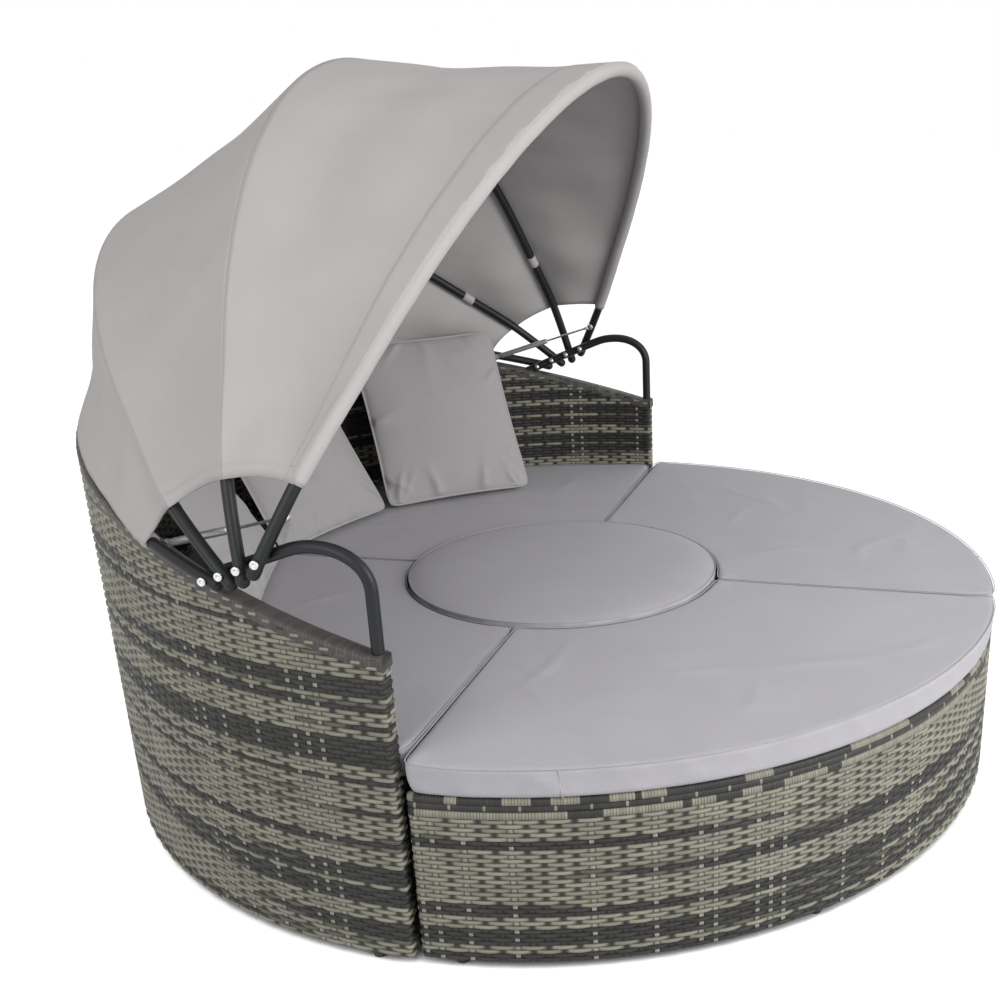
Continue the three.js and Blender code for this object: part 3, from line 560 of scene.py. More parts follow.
def deck(name, inner, outer, start, end, top, body, inset):
    radii = np.linspace(inner, outer, decks["rows"])[:, None]
    trim = np.arcsin(inset / radii)
    angle = start + trim + (end - start - 2 * trim) * np.linspace(0, 1, decks["columns"])
    points = polar(radii, angle, top - decks["under"]).reshape(-1, 3)
    faces = gridFaces(*angle.shape)[:, ::-1]
    u = angle.ravel() * (inner + outer) / 2 / weaveShape["stake"]
    v = np.repeat(radii / decks["strand"], decks["columns"], 1).ravel()
    uv = np.stack([u[faces], v[faces]], -1)
    addObject(name, points, faces, wickerDeck, body, "wicker", (), uv)


# Stools
quarter = sectorPath(ring["well"], ring["stool"], math.pi / 2, 0.014)
for word, angle, seed in (("left", math.pi, 1), ("right", -math.pi / 2, 2)):
    body = word + "_stool"
    c, s = math.cos(angle), math.sin(angle)
    turned = {**quarter, "points": quarter["points"] @ np.array([[c, s], [-s, c]])}
    skirt(body, turned, ring["seat"], body, [body + "_wicker"], seed)
    radii = ring["well"] + decks["gap"], ring["stool"] - decks["gap"]
    deck(body + "_deck", *radii, angle, angle + math.pi / 2, ring["seat"], body, decks["gap"])
print("stools done")

# Table: its weave begins and ends at the rear
circle = math.pi / 2 + np.linspace(0, 2 * math.pi, 721)
skirt("table", measured(polar(ring["table"], circle), True), ring["tableTop"], "table", ["table_wicker"], 3)
deck("table_deck", 0.004, ring["table"] - decks["gap"], 0, 2 * math.pi, ring["tableTop"], "table", 0)
print("table done")

# Sofa: the woven wall, its wrapped top, and the woven seat
wall = sectorPath(wallInner, ring["outer"], math.pi, 0.009)
wallStakes = stakeCount(wall)
# the stakes of the outer side and of the left arm's end
outerStakes = round(wallStakes * (math.pi * ring["outer"] + ring["wall"]) / wall["length"])
wallWeave = {
    "high": 0.79,
    "rows": 99,
    "belowTrim": 0.004,
    "spans": {
        "sofa_wall_right": (0, outerStakes // 2),
        "sofa_wall_left": (outerStakes // 2, outerStakes),
        "sofa_wall_inner": (outerStakes, wallStakes),
    },
}


# The wall's inner side can be seen above the seat only
def inSight(middle):
    return (np.hypot(middle[:, 0], middle[:, 1]) > 0.87) | (middle[:, 2] > 0.3)


def weaveTop(y):
    return wallTop(y) - wallWeave["belowTrim"]


for name, span in wallWeave["spans"].items():
    nodes = ["sofa_wall_wicker"] if name == "sofa_wall_right" else []
    extent = ring["foot"], wallWeave["high"], wallWeave["rows"]
    weave(name, wall, *extent, "sofa", nodes, 4, span, weaveTop, inSight)
print("wall done")

# The trim's section, as radii and heights about the wall's top line
trim = {
    "profile": (
        (0.8647, -0.021), (0.8641, -0.012), (0.8643, -0.0045), (0.8665, -0.0012), (0.874, 0.0), (0.882, 0.0),
        (0.89, 0.0), (0.8975, -0.0012), (0.8997, -0.0045), (0.8999, -0.012), (0.8993, -0.021),
    ),
    "steps": 620,
    "wrap": 0.0062,
    "round": 0.003,
    "roundLong": 0.004,
}


def wallTrim():
    radius, lift = np.array(trim["profile"]).T[..., None]
    start = np.arcsin(ring["inset"] / radius)
    share = np.linspace(0, 1, trim["steps"] + 1)
    angle = start + (math.pi - 2 * start) * share
    points = polar(radius, angle, 0)
    # both ends are rounded down a little
    ease = np.minimum(1, np.minimum(share, 1 - share) * math.pi * ring["outer"] / trim["roundLong"])
    points[..., 2] = wallTop(points[..., 1]) + lift - trim["round"] * (1 - ease) ** 2
    rows, columns = angle.shape
    u = share * math.pi * ring["rail"] / trim["wrap"]
    v = np.arange(rows, dtype=float)
    faces = gridFaces(rows, columns)[:, ::-1].tolist()
    uv = [gridUv(u, v)[:, ::-1].reshape(-1, 2)]
    for column, order in ((0, 1), (columns - 1, -1)):
        ends = np.arange(rows)[::order]
        fan = np.array([[ends[0], ends[k], ends[k + 1]] for k in range(1, rows - 1)])
        faces += (fan * columns + column).tolist()
        uv.append(np.stack([np.full(fan.size, u[column]), v[fan.ravel()]], -1))
    points, uv = points.reshape(-1, 3), np.concatenate(uv)
    addObject("sofa_wall_trim", points, faces, trimWicker, "sofa", "wicker", (), uv)


wallTrim()

seatEdge = wallInner - 0.0006
inside = arc(ring["well"], math.pi, 0)
leftSide = np.array([(-seatEdge, ring["inset"]), inside[0]])
rightSide = np.array([inside[-1], (seatEdge, ring["inset"])])
apron = planPath([leftSide, inside, rightSide], 0.014, False)
skirt("sofa_seat", apron, ring["seat"], "sofa", ["sofa_seat_wicker"], 5)
radii = ring["well"] + decks["gap"], seatEdge
deck("sofa_seat_deck", *radii, 0, math.pi, ring["seat"], "sofa", decks["gap"])
print("seat done")

# Tubes: rings of points round a line, carried along it without twist
def sideways(axis):
    side = np.cross(axis, (0, 0, 1.0))
    return unit(side if np.linalg.norm(side) > 0.05 else np.cross(axis, (0, 1.0, 0)))


def aroundCircle(sides, first, second):
    angle = np.linspace(0, 2 * math.pi, sides, endpoint=False)[:, None]
    return first[..., None, :] * np.cos(angle) + second[..., None, :] * np.sin(angle)


# Closes the two ends of a tube whose rings run against the grid's own order
def capped(points, faces, sides, flip):
    ends = [list(range(sides)), list(range(len(points) - 1, len(points) - sides - 1, -1))]
    return points, faces.tolist() + [end[::-1] if flip else end for end in ends]


def tubeMesh(line, radius, sides=24, roundEnds=False):
    tangent = unit(np.gradient(line, axis=0))
    side = sideways(tangent[0])
    first = []
    for direction in tangent:
        side = unit(side - direction * (side @ direction))
        first.append(side)
    first = np.array(first)
    second = np.cross(tangent, first)
    radii = np.broadcast_to(radius, len(line))
    if roundEnds:
        bend = np.linspace(0, math.pi / 2, 7)[1:]
        inner = np.arange(len(line))
        order = np.concatenate([np.repeat(0, len(bend)), inner, np.repeat(inner[-1], len(bend))])
        ahead = np.concatenate([-np.sin(bend)[::-1], np.zeros(len(line)), np.sin(bend)])
        shrink = np.maximum(np.cos(bend), 0.02)
        line = line[order] + (tangent[order].T * radii[order] * ahead).T
        radii = radii[order] * np.concatenate([shrink[::-1], np.ones(len(inner)), shrink])
        first, second = first[order], second[order]
    points = line[:, None] + aroundCircle(sides, first, second) * radii[:, None, None]
    return capped(points.reshape(-1, 3), gridFaces(len(line), sides, False, True)[:, ::-1], sides, False)


# A closed tube or ribbon along a loop, from its half widths beside and along the normal
def loopMesh(line, normal, wide, thick, sides):
    tangent = unit(np.roll(line, -1, 0) - np.roll(line, 1, 0))
    side = unit(np.cross(tangent, normal))
    around = aroundCircle(sides, side * wide, np.cross(tangent, side) * thick)
    points = (line[:, None] + around).reshape(-1, 3)
    return points, gridFaces(len(line), sides, True, True)[:, ::-1].tolist()


def joined(parts):
    points, faces, base = [], [], 0
    for p, f in parts:
        points.append(p)
        faces += [[i + base for i in face] for face in f]
        base += len(p)
    return np.concatenate(points), faces


# A solid of revolution from radii and heights along an axis; rows marked as hexagons
# get six flat sides
def latheMesh(profile, origin, axis, sides=24, hexes=()):
    axis = unit(np.array(axis, float))
    first = sideways(axis)
    angle = np.linspace(0, 2 * math.pi, sides, endpoint=False)
    radius, along = np.array(profile).T
    reach = np.repeat(np.maximum(radius, 0.00003)[:, None], sides, 1)
    for row in hexes:
        reach[row] *= math.cos(math.pi / 6) / np.cos(angle % (math.pi / 3) - math.pi / 6)
    around = aroundCircle(sides, first, np.cross(axis, first))
    points = np.array(origin) + axis * along[:, None, None] + around * reach[..., None]
    return capped(points.reshape(-1, 3), gridFaces(len(along), sides, False, True), sides, True)


# Canopy frame: the formulas repeat the solids' in metres
canopy = {
    "pivot": (0.299, 0.635),
    "pitch": 0.0395,
    "slope": 21.8 * degree,
    "tube": 0.010,
    "spacer": 0.0045,
    "tail": 0.0195,
    "capLong": 0.009,
    "capThick": 0.0006,
    "rest": 0.0008,
    "overhangs": (0, 0.050, 0.028, 0.026),
    "open": (137.5, 101.5, 62.7),
    "legs": (0.110, 0.300),
    "railLeg": 0.017,
    "railTop": 0.704,
    "railTopY": 0.096,
    "railBend": 0.062,
    "railEnd": 0.347,
}
legOffset = canopy["tube"] * 2 + canopy["spacer"]
pivotY, pivotZ = canopy["pivot"]
bowBodies = ["sofa", "second_bow", "third_bow", "front_bow"]
bowNames = ["canopy_bow_rear", "canopy_bow_second", "canopy_bow_third", "canopy_bow_front"]
bothSides = (("left", -1), ("right", 1))


# Pivots lie at equal steps along the rail's slope
def pivotPlace(index):
    run = index * canopy["pitch"]
    return pivotY - run * math.cos(canopy["slope"]), pivotZ + run * math.sin(canopy["slope"])


# folded, all bows lie at the rear bow's angle, at which its crown lies over the wall's rim
rimRise = wallTop(ring["rail"]) + canopy["tube"] + canopy["rest"] - pivotZ
foldedAngle = math.pi - math.atan2(rimRise, ring["rail"] - pivotY)
bowAngles = [foldedAngle] + [a * degree for a in canopy["open"]]
bowHeights = [
    (ring["rail"] - pivotPlace(index)[0]) / math.cos(math.pi - foldedAngle) + overhang
    for index, overhang in enumerate(canopy["overhangs"])
]
bowStarts = [pivotPlace(index)[0] / ring["rail"] for index in range(4)]


# A share that rises from 0 to 1 between two values, level at both
def smooth(low, high, value):
    share = np.clip((value - low) / (high - low), 0, 1)
    return share * share * (3 - 2 * share)


# A bow's half width and its reach from the pivots, at an angle along its arch;
# the legs stand outward beside the rail
def archAt(index, angle):
    start = bowStarts[index]
    reach = bowHeights[index] * (np.sin(angle) - start) / (1 - start)
    return ring["rail"] * np.cos(angle) + legOffset * (1 - smooth(*canopy["legs"], reach)), reach


# The angle at which an arch has a given reach
def archAngle(index, reach):
    start = bowStarts[index]
    return np.arcsin(start + (1 - start) * reach / bowHeights[index])


# Angles from one leg over the crown to the other, for shares from -1 to 1
def archSweep(index, fromReach, share):
    first = archAngle(index, fromReach)
    return first + (math.pi / 2 - first) * (1 - np.abs(share))


# A point in a bow's plane, which is turned about the bow's pivots to its open angle
def bowPoint(index, x, reach):
    y, z = pivotPlace(index)
    x, reach = np.broadcast_arrays(x, reach)
    return np.stack([x, y - reach * math.cos(bowAngles[index]), z + reach * math.sin(bowAngles[index])], -1)


def shifted(rows, by):
    return [(radius, along + by) for radius, along in rows]


def mirrored(x, share):
    return x * np.where(share < 0, -1, 1)


def wholeBow(index, fromReach, count=70):
    share = np.linspace(-1, 1, 2 * count + 1)
    x, reach = archAt(index, archSweep(index, fromReach, share))
    return bowPoint(index, mirrored(x, share), reach)


def bowPart(index, fromReach, toReach, side):
    x, reach = archAt(index, np.linspace(archAngle(index, fromReach), archAngle(index, toReach), 6))
    return bowPoint(index, x * side, reach)


# A rail stands on the arm's end, bends over, and slopes down to its end along the wall
def railLine(side):
    leg, top, topY, bend = (canopy[key] for key in ("railLeg", "railTop", "railTopY", "railBend"))

    def heightAt(y):
        return pivotZ - (y - pivotY) * math.tan(canopy["slope"])

    def spot(y, z):
        return np.stack([np.sqrt(ring["rail"] ** 2 - y ** 2), y, z], -1)

    slopeY = topY + bend
    easeY = slopeY - bend * 0.4
    curves = [
        [(leg, top - bend), (leg, top - bend * 0.35), (topY - bend * 0.65, top), (topY, top)],
        [(topY, top), (topY + bend * 0.4, top), (easeY, heightAt(easeY)), (slopeY, heightAt(slopeY))],
    ]
    parts = [spot(np.full(5, leg), np.linspace(ring["armTop"] - 0.02, top - bend, 6)[:-1])]
    t = np.linspace(0, 1, 15)[:-1, None]
    for a, b, c, d in np.array(curves):
        bent = (1 - t) ** 3 * a + 3 * t * (1 - t) ** 2 * b + 3 * t * t * (1 - t) * c + t ** 3 * d
        parts.append(spot(*bent.T))
    y = np.linspace(slopeY, canopy["railEnd"], 18)
    parts.append(spot(y, heightAt(y)))
    return np.concatenate(parts) * (side, 1, 1)


for index, (name, body) in enumerate(zip(bowNames, bowBodies)):
    tube = tubeMesh(wholeBow(index, -canopy["tail"]), canopy["tube"], roundEnds=True)
    addObject(name + "_tube", *tube, blackTube, body, "black_tube", [name])
    caps = []
    for side in (1, -1):
        line = bowPart(index, -canopy["tail"], -canopy["tail"] + canopy["capLong"], side)
        caps.append(tubeMesh(line, canopy["tube"] + canopy["capThick"], roundEnds=True))
    addObject(name + "_caps", *joined(caps), capPlastic, body, "black_tube")

# A bolt: the nut and washer inside the rail, and the head outside the leg. Rows are
# radii and places beside the nut's or the head's face; the flat-sided ones are listed
bolt = {
    "play": 0.0003,
    "nutSlant": 0.0065,
    "headSlant": 0.007,
    "nut": (
        (0.0, -0.0085), (0.0026, -0.0085), (0.0036, -0.0076), (0.0038, -0.006), (0.0056, -0.006),
        (0.0065, -0.0054), (0.0065, -0.0006), (0.0056, 0.0), (0.0038, 0.0),
    ),
    "head": (
        (0.0038, 0.0), (0.0066, 0.0), (0.007, 0.0004), (0.007, 0.0035), (0.0064, 0.0043),
        (0.0034, 0.0045), (0.0032, 0.0042), (0.003, 0.002), (0.0, 0.002),
    ),
    "hexes": (4, 5, 6, 7, 14, 15, 16),
}
for word, side in bothSides:
    name = word + "_canopy_rail"
    mesh = tubeMesh(railLine(side), canopy["tube"])
    addObject(name + "_tube", *mesh, blackTube, "sofa", "black_tube", [name])
    for index in range(4):
        y, z = pivotPlace(index)
        railX = math.sqrt(ring["rail"] ** 2 - y * y)
        # the rail curves away, so faces stand off by its slant
        slant = y / railX
        face = canopy["tube"] + bolt["play"]
        nut = railX - face - bolt["nutSlant"] * slant
        head = archAt(index, archAngle(index, 0))[0] + face + bolt["headSlant"] * slant
        rows = shifted(bolt["nut"], nut) + shifted(bolt["head"], head)
        mesh = latheMesh(rows, (0, y, z), (side, 0, 0), hexes=bolt["hexes"])
        node = f"{word}_pivot_bolt_{index + 1}"
        addObject(node + "_steel", *mesh, brightSteel, "sofa", "bright_steel", [node])
print("bows, rails and bolts done")

# Gas struts: cylinder, rod, eyes and ball studs, as radii and places along each axis.
# The second cylinder rows count from the body's end, the rod's from the front stud
strut = {
    "rearReach": 0.107,
    "frontReach": 0.065,
    "rearStud": 0.022,
    "frontStud": 0.023,
    "body": 0.143,
    "bodyRear": (
        (0.0, 0.0062), (0.0042, 0.0062), (0.005, 0.0085), (0.005, 0.0125), (0.0062, 0.0145), (0.0065, 0.016),
    ),
    "bodyFront": ((0.0065, -0.0045), (0.0062, -0.002), (0.0052, -0.0006), (0.0031, 0.0), (0.0, 0.0)),
    "rodRear": ((0.0, -0.02), (0.0025, -0.02)),
    "rodFront": ((0.0025, -0.016), (0.0034, -0.015), (0.0036, -0.0088), (0.003, -0.0064), (0.0, -0.0064)),
    "eye": (
        (0.0052, -0.0045), (0.0066, -0.0045), (0.0075, -0.0034), (0.0075, 0.0034), (0.0066, 0.0045),
        (0.0052, 0.0045),
    ),
    "rearPin": ((0.0, -0.0095), (0.0042, -0.0095), (0.005, -0.009), (0.005, -0.0078), (0.0026, -0.0075)),
    "frontPin": ((0.0, 0.0081), (0.0044, 0.0081), (0.005, 0.0086), (0.005, 0.0101), (0.0026, 0.0103)),
    "ball": 0.0048,
    "pinBefore": 0.0105,
    "sides": 28,
}


def eyeMesh(centre, axis):
    sides = strut["sides"]
    points, faces = latheMesh(strut["eye"], centre, axis, sides)
    last = len(points) - sides
    # the bore takes the place of the two end faces
    bore = [[last + k, last + (k + 1) % sides, (k + 1) % sides, k] for k in range(sides)]
    return points, faces[:-2] + bore


for word, side in bothSides:
    ends = []
    for index, which in ((0, "rear"), (3, "front")):
        x = archAt(index, archAngle(index, strut[which + "Reach"]))[0] - strut[which + "Stud"]
        ends.append(bowPoint(index, x * side, strut[which + "Reach"]))
    rear, front = ends
    length = np.linalg.norm(front - rear)
    line = unit(front - rear)
    across = unit(np.array([side, 0, 0]) - line * (line[0] * side))
    sides = strut["sides"]
    rows = [*strut["bodyRear"], *shifted(strut["bodyFront"], strut["body"])]
    mesh = joined([latheMesh(rows, rear, line, sides), eyeMesh(rear, across)])
    nodes = [word + "_strut_cylinder"]
    addObject(word + "_strut_cylinder_tube", *mesh, strutCoat, word + "_strut", "strut_body", nodes)
    rows = shifted(strut["rodRear"], strut["body"]) + shifted(strut["rodFront"], length)
    mesh = joined([latheMesh(rows, rear, line), eyeMesh(front, across)])
    nodes = [word + "_strut_rod"]
    addObject(word + "_strut_rod_steel", *mesh, brightSteel, word + "_strut_rod_body", "bright_steel", nodes)
    bend = np.linspace(-1.13, 1.13, 9)
    ball = np.stack([np.cos(bend), np.sin(bend)], 1) * strut["ball"]
    pinEnd = strut["rearStud"] - strut["pinBefore"]
    rows = [*strut["rearPin"], *ball, (0.0026, 0.006), (0.0026, pinEnd), (0.0, pinEnd)]
    mesh = latheMesh(rows, rear, (side, 0, 0))
    nodes = [word + "_strut_rear_stud"]
    addObject(word + "_strut_rear_pin", *mesh, brightSteel, "sofa", "bright_steel", nodes)
    pinEnd = strut["frontStud"] - strut["pinBefore"]
    mesh = latheMesh([*strut["frontPin"], (0.0026, pinEnd), (0.0, pinEnd)], front, (side, 0, 0))
    nodes = [word + "_strut_front_stud"]
    addObject(word + "_strut_front_pin", *mesh, brightSteel, "front_bow", "bright_steel", nodes)
print("struts done")

# Feet, and the coat of the frames inside the wicker
footRows = (
    (0.0, 0.0), (0.0085, 0.0), (0.01, 0.0008), (0.0122, 0.006), (0.013, 0.0075), (0.013, 0.0143),
    (0.0126, 0.0147), (0.0, 0.0147),
)
for name, node in frame["nodes"].items():
    if "_foot_" in name:
        low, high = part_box(name)
        place = ((low.x + high.x) / 2, (low.y + high.y) / 2 - ringY, 0)
        mesh = latheMesh(footRows, place, (0, 0, 1))
        addObject(name + "_glide", *mesh, footPlastic, node["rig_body"], "black_foot", [name])
    elif name.endswith("_frame"):
        node.data.materials.clear()
        node.data.materials.append(innerCoat)
print("feet done")


# Soft goods: structured cloth meshes, blown up by a cloth simulation with their seams held
def closedGrid(top, bottom, borderRows, borderPoint):
    rows, columns = top.shape[:2]
    ids = borderLoop(rows, columns)
    count = rows * columns
    points = [top.reshape(-1, 3), bottom.reshape(-1, 3)]
    faces = [gridFaces(rows, columns), gridFaces(rows, columns)[:, ::-1] + count]
    belt = [ids]
    base = 2 * count
    for row in range(1, borderRows):
        points.append(borderPoint(points[0][ids], points[1][ids], row / borderRows))
        belt.append(base + np.arange(len(ids)))
        base += len(ids)
    belt = np.array([*belt, ids + count])
    follow = np.roll(belt, -1, axis=1)
    quads = np.stack([belt[:-1], belt[1:], follow[1:], follow[:-1]], -1).reshape(-1, 4)
    return np.concatenate(points), np.concatenate([*faces, quads]), ids, ids + count


swell = {
    "quality": 5,
    "mass": 0.25,
    "tension_stiffness": 12,
    "compression_stiffness": 12,
    "shear_stiffness": 4,
    "pin_stiffness": 1,
    "use_pressure": True,
}


def inflate(obj, held, pressure, slack, cap, steps=16, bend=0.6):
    scene = bpy.context.scene
    group = obj.vertex_groups.new(name="held")
    group.add(held.tolist(), 1.0, "REPLACE")
    modifier = obj.modifiers.new("swell", "CLOTH")
    cloth = modifier.settings
    for key, value in swell.items():
        setattr(cloth, key, value)
    cloth.bending_stiffness = bend
    cloth.vertex_group_mass = "held"
    cloth.uniform_pressure_force = pressure
    cloth.shrink_min = -slack
    cloth.effector_weights.gravity = 0
    modifier.collision_settings.use_collision = False
    modifier.point_cache.frame_start = 1
    modifier.point_cache.frame_end = steps
    for number in range(1, steps + 1):
        scene.frame_set(number)
    rest = coordinates(obj)
    blown = coordinates(obj.evaluated_get(bpy.context.evaluated_depsgraph_get()))
    obj.modifiers.remove(modifier)
    obj.vertex_groups.remove(group)
    move = blown - rest
    size = np.linalg.norm(move, axis=1)
    # a soft limit: the move approaches the cap and never passes it
    move *= (cap * np.tanh(size / cap) / np.maximum(size, 1e-9))[:, None]
    setCoordinates(obj, rest + move)
    scene.frame_set(1)


def coordinates(obj):
    flat = np.empty(len(obj.data.vertices) * 3)
    obj.data.vertices.foreach_get("co", flat)
    return flat.reshape(-1, 3)


def setCoordinates(obj, points):
    obj.data.vertices.foreach_set("co", points.ravel())
    obj.data.update()


# Smooth seeded unevenness over a grid: a few sine waves in random directions
def ripples(grid, size, amount, seed, waves=7):
    chance = np.random.default_rng(seed)
    total = 0
    for _ in range(waves):
        wave = grid @ unit(chance.normal(size=3)) * (2 * math.pi / size)
        total = total + np.sin(wave * chance.uniform(0.6, 1.5) + chance.uniform(0, 6.28))
    return total / waves * amount


# Soft creases: ridges of Gaussian section along short bent lines, seeded
def creases(x, y, spots, seed, long, wide, high):
    chance = np.random.default_rng(seed)
    total = 0
    for cx, cy, heading in spots:
        angle = heading + chance.normal(0, 0.35)
        u = (x - cx) * math.cos(angle) + (y - cy) * math.sin(angle)
        v = (y - cy) * math.cos(angle) - (x - cx) * math.sin(angle)
        v = v + u * u * chance.normal(0, 1.4)
        ridge = np.exp(-(u / chance.uniform(*long)) ** 2 - (v / chance.uniform(*wide)) ** 2)
        total = total + ridge * chance.uniform(*high)
    return total


# Boxed cushions: a crowned top, an upright border and a flat base
boxed = {
    "thick": 0.055,
    "seamBelow": 0.002,
    "crown": (0.003, 0.004),
    "crownFades": (0.01, 0.08),
    "fillFade": 0.05,
    "side": 0.003,
    "outerWall": 0.859,
    "outerStool": 0.896,
    "inner": 0.3295,
    "seat": 0.3153,
    "table": 0.3223,
    "tableRadius": 0.324,
    "borderRows": 5,
    "seam": 0.0009,
    "pressure": 3.2,
    "slack": 0.016,
    "topCaps": (0.002, 0.006),
    "tableExtra": 0.012,
}


# The border stands upright and turns under near the base
def boxedBorder(upper, lower, share):
    under = share ** 3
    point = upper * (1 - under) + lower * under
    point[:, 2] = upper[:, 2] * (1 - share) + lower[:, 2] * share
    return point


# The top is as high as the seam, plus a quick round beside it and a slow crown behind it;
# relief is added after the swelling, and extra before it
def boxedCushion(node, seamName, body, base, flat, bottom, edge, extra, relief, borderCap, azimuth=None):
    inward = np.maximum(edge, 0)
    fill = 1 - np.exp(-inward / boxed["fillFade"])
    top = flat.copy()
    top[..., 2] = base + boxed["thick"] - boxed["seamBelow"] + extra * fill
    for high, fade in zip(boxed["crown"], boxed["crownFades"]):
        top[..., 2] += high * (1 - np.exp(-inward / fade))
    bottom[..., 2] = base
    points, faces, upper, lower = closedGrid(top, bottom, boxed["borderRows"], boxedBorder)
    obj = addObject(node + "_cloth", points, faces, seatCloth, body, "seat_cloth", [node])
    cap = np.full(len(points), borderCap)
    cap[:edge.size] = boxed["topCaps"][0] + boxed["topCaps"][1] * fill.ravel()
    inflate(obj, np.concatenate([upper, lower]), boxed["pressure"], boxed["slack"], cap)
    co = coordinates(obj)
    co[:edge.size, 2] += (relief * (edge > 0.001)).ravel()
    co[:, 2] = np.maximum(co[:, 2], base)
    setCoordinates(obj, co)
    co -= (0, ringY, 0)
    seams = [loopMesh(co[upper], (0, 0, 1.0), boxed["seam"], boxed["seam"], 6)]
    if azimuth is not None:
        seams.append(uprightSeam(co, upper, lower, azimuth))
    addObject(seamName, *joined(seams), seatCloth, body, "seat_cloth")
    smoothed(obj)


def smoothed(obj):
    modifier = obj.modifiers.new("finer", "SUBSURF")
    modifier.levels = modifier.render_levels = 1


# The border strip is joined by one upright seam on the outer side
sideSeam = {"share": 0.174, "radius": 0.0011, "outside": 0.8}


def uprightSeam(co, upper, lower, azimuth):
    x, y = co[upper, 0], co[upper, 1]
    gap = np.abs((np.arctan2(y, x) - azimuth + math.pi) % (2 * math.pi) - math.pi)
    column = np.argmin(gap + (np.hypot(x, y) < sideSeam["outside"]) * 9)
    base = len(co) - len(upper) * (boxed["borderRows"] - 1)
    between = base + np.arange(boxed["borderRows"] - 1) * len(upper) + column
    return tubeMesh(co[[upper[column], *between, lower[column]]], sideSeam["radius"], 6)


# A quarter-ring cushion: the plan is a grid of shares p and q between the two arcs, its
# corners drawn in a little. Its base is a little smaller, so that the lower edge turns under
quarterShape = {
    "rows": 50,
    "columns": 92,
    "cornerPower": 20,
    "cornerIn": (0.022, 0.014),
    "baseShare": (0.984, 0.99),
    "borderCap": 0.0032,
    "unevenness": (0.32, 0.002),
    "pucker": 0.0007,
    "puckerLong": 0.021,
    "puckerFade": 0.016,
    "creases": 16,
}


def quarterCushion(node, outer, turn, body, seed):
    shape = quarterShape
    inner = boxed["inner"]
    p, q = np.meshgrid(np.linspace(-1, 1, shape["rows"]), np.linspace(-1, 1, shape["columns"]), indexing="ij")
    tight = np.abs(p * q) ** shape["cornerPower"]
    p = p * (1 - shape["cornerIn"][0] * tight)
    q = q * (1 - shape["cornerIn"][1] * tight)
    radius = inner + (outer - inner) * (p + 1) / 2
    trim = np.arcsin(boxed["side"] / radius)
    angle = trim + (math.pi / 2 - 2 * trim) * (q + 1) / 2 + turn
    sideEdge = radius * np.minimum(angle - turn - trim, turn + math.pi / 2 - trim - angle)
    edge = np.minimum(np.minimum(radius - inner, outer - radius), sideEdge)
    flat = polar(radius, angle, 0)
    baseRadius = inner + (outer - inner) * (p * shape["baseShare"][0] + 1) / 2
    baseAngle = trim + (math.pi / 2 - 2 * trim) * (q * shape["baseShare"][1] + 1) / 2 + turn
    # puckers beside the seam, and soft creases over the top
    arcs = (np.arctan2(flat[..., 1], flat[..., 0]) + 0.7) * radius
    pucker = np.sin(arcs / shape["puckerLong"] + ripples(flat, 0.2, 5.0, seed + 1))
    pucker *= np.exp(-np.maximum(edge, 0) / shape["puckerFade"]) * shape["pucker"]
    chance = np.random.default_rng(seed + 7)
    spots = []
    for _ in range(shape["creases"]):
        away = inner + (outer - inner) * chance.uniform(0.15, 0.93) ** 0.7
        at = turn + math.pi / 2 * chance.uniform(0.06, 0.94)
        spots.append((*polar(away, at), at + chance.choice([0.6, -0.6, 1.0])))
    soft = creases(flat[..., 0], flat[..., 1], spots, seed + 8, (0.04, 0.1), (0.009, 0.016), (0.001, 0.0024))
    soft *= 1 - np.exp(-np.maximum(edge, 0) / boxed["fillFade"])
    boxedCushion(
        node, node + "_cloth_seams", body, boxed["seat"], flat, polar(baseRadius, baseAngle, 0), edge,
        ripples(flat, *shape["unevenness"], seed), pucker + soft, shape["borderCap"],
        turn + sideSeam["share"] * math.pi / 2,
    )


quarters = [
    ("rear_right_seat_cushion", "outerWall", "sofa"),
    ("rear_left_seat_cushion", "outerWall", "sofa"),
    ("front_left_seat_cushion", "outerStool", "left_stool"),
    ("front_right_seat_cushion", "outerStool", "right_stool"),
]
for turns, (node, outer, body) in enumerate(quarters):
    quarterCushion(node, boxed[outer], turns * math.pi / 2, body, 11 + turns)
print("seat cushions done")


# The round cushion: a grid of squares, closer together near the seam and bent to a circle
roundShape = {"cells": 46, "closer": 0.86, "base": 0.987, "unevenness": (0.3, 0.002), "borderCap": 0.003}


def roundCushion():
    a = np.linspace(-1, 1, roundShape["cells"]) * math.pi / 2 * roundShape["closer"]
    a = np.sin(a) / math.sin(a[-1])
    u, v = np.meshgrid(a, a, indexing="ij")
    x = u * np.sqrt(1 - v * v / 2) * boxed["tableRadius"]
    y = v * np.sqrt(1 - u * u / 2) * boxed["tableRadius"]
    flat = np.stack([x, y, np.zeros_like(x)], -1)
    unevenness = ripples(flat, *roundShape["unevenness"], 31) + boxed["tableExtra"]
    boxedCushion(
        "table_cushion", "table_cushion_seam", "table", boxed["table"], flat, flat * roundShape["base"],
        boxed["tableRadius"] - np.hypot(x, y), unevenness, 0, roundShape["borderCap"],
    )


roundCushion()
print("table cushion done")

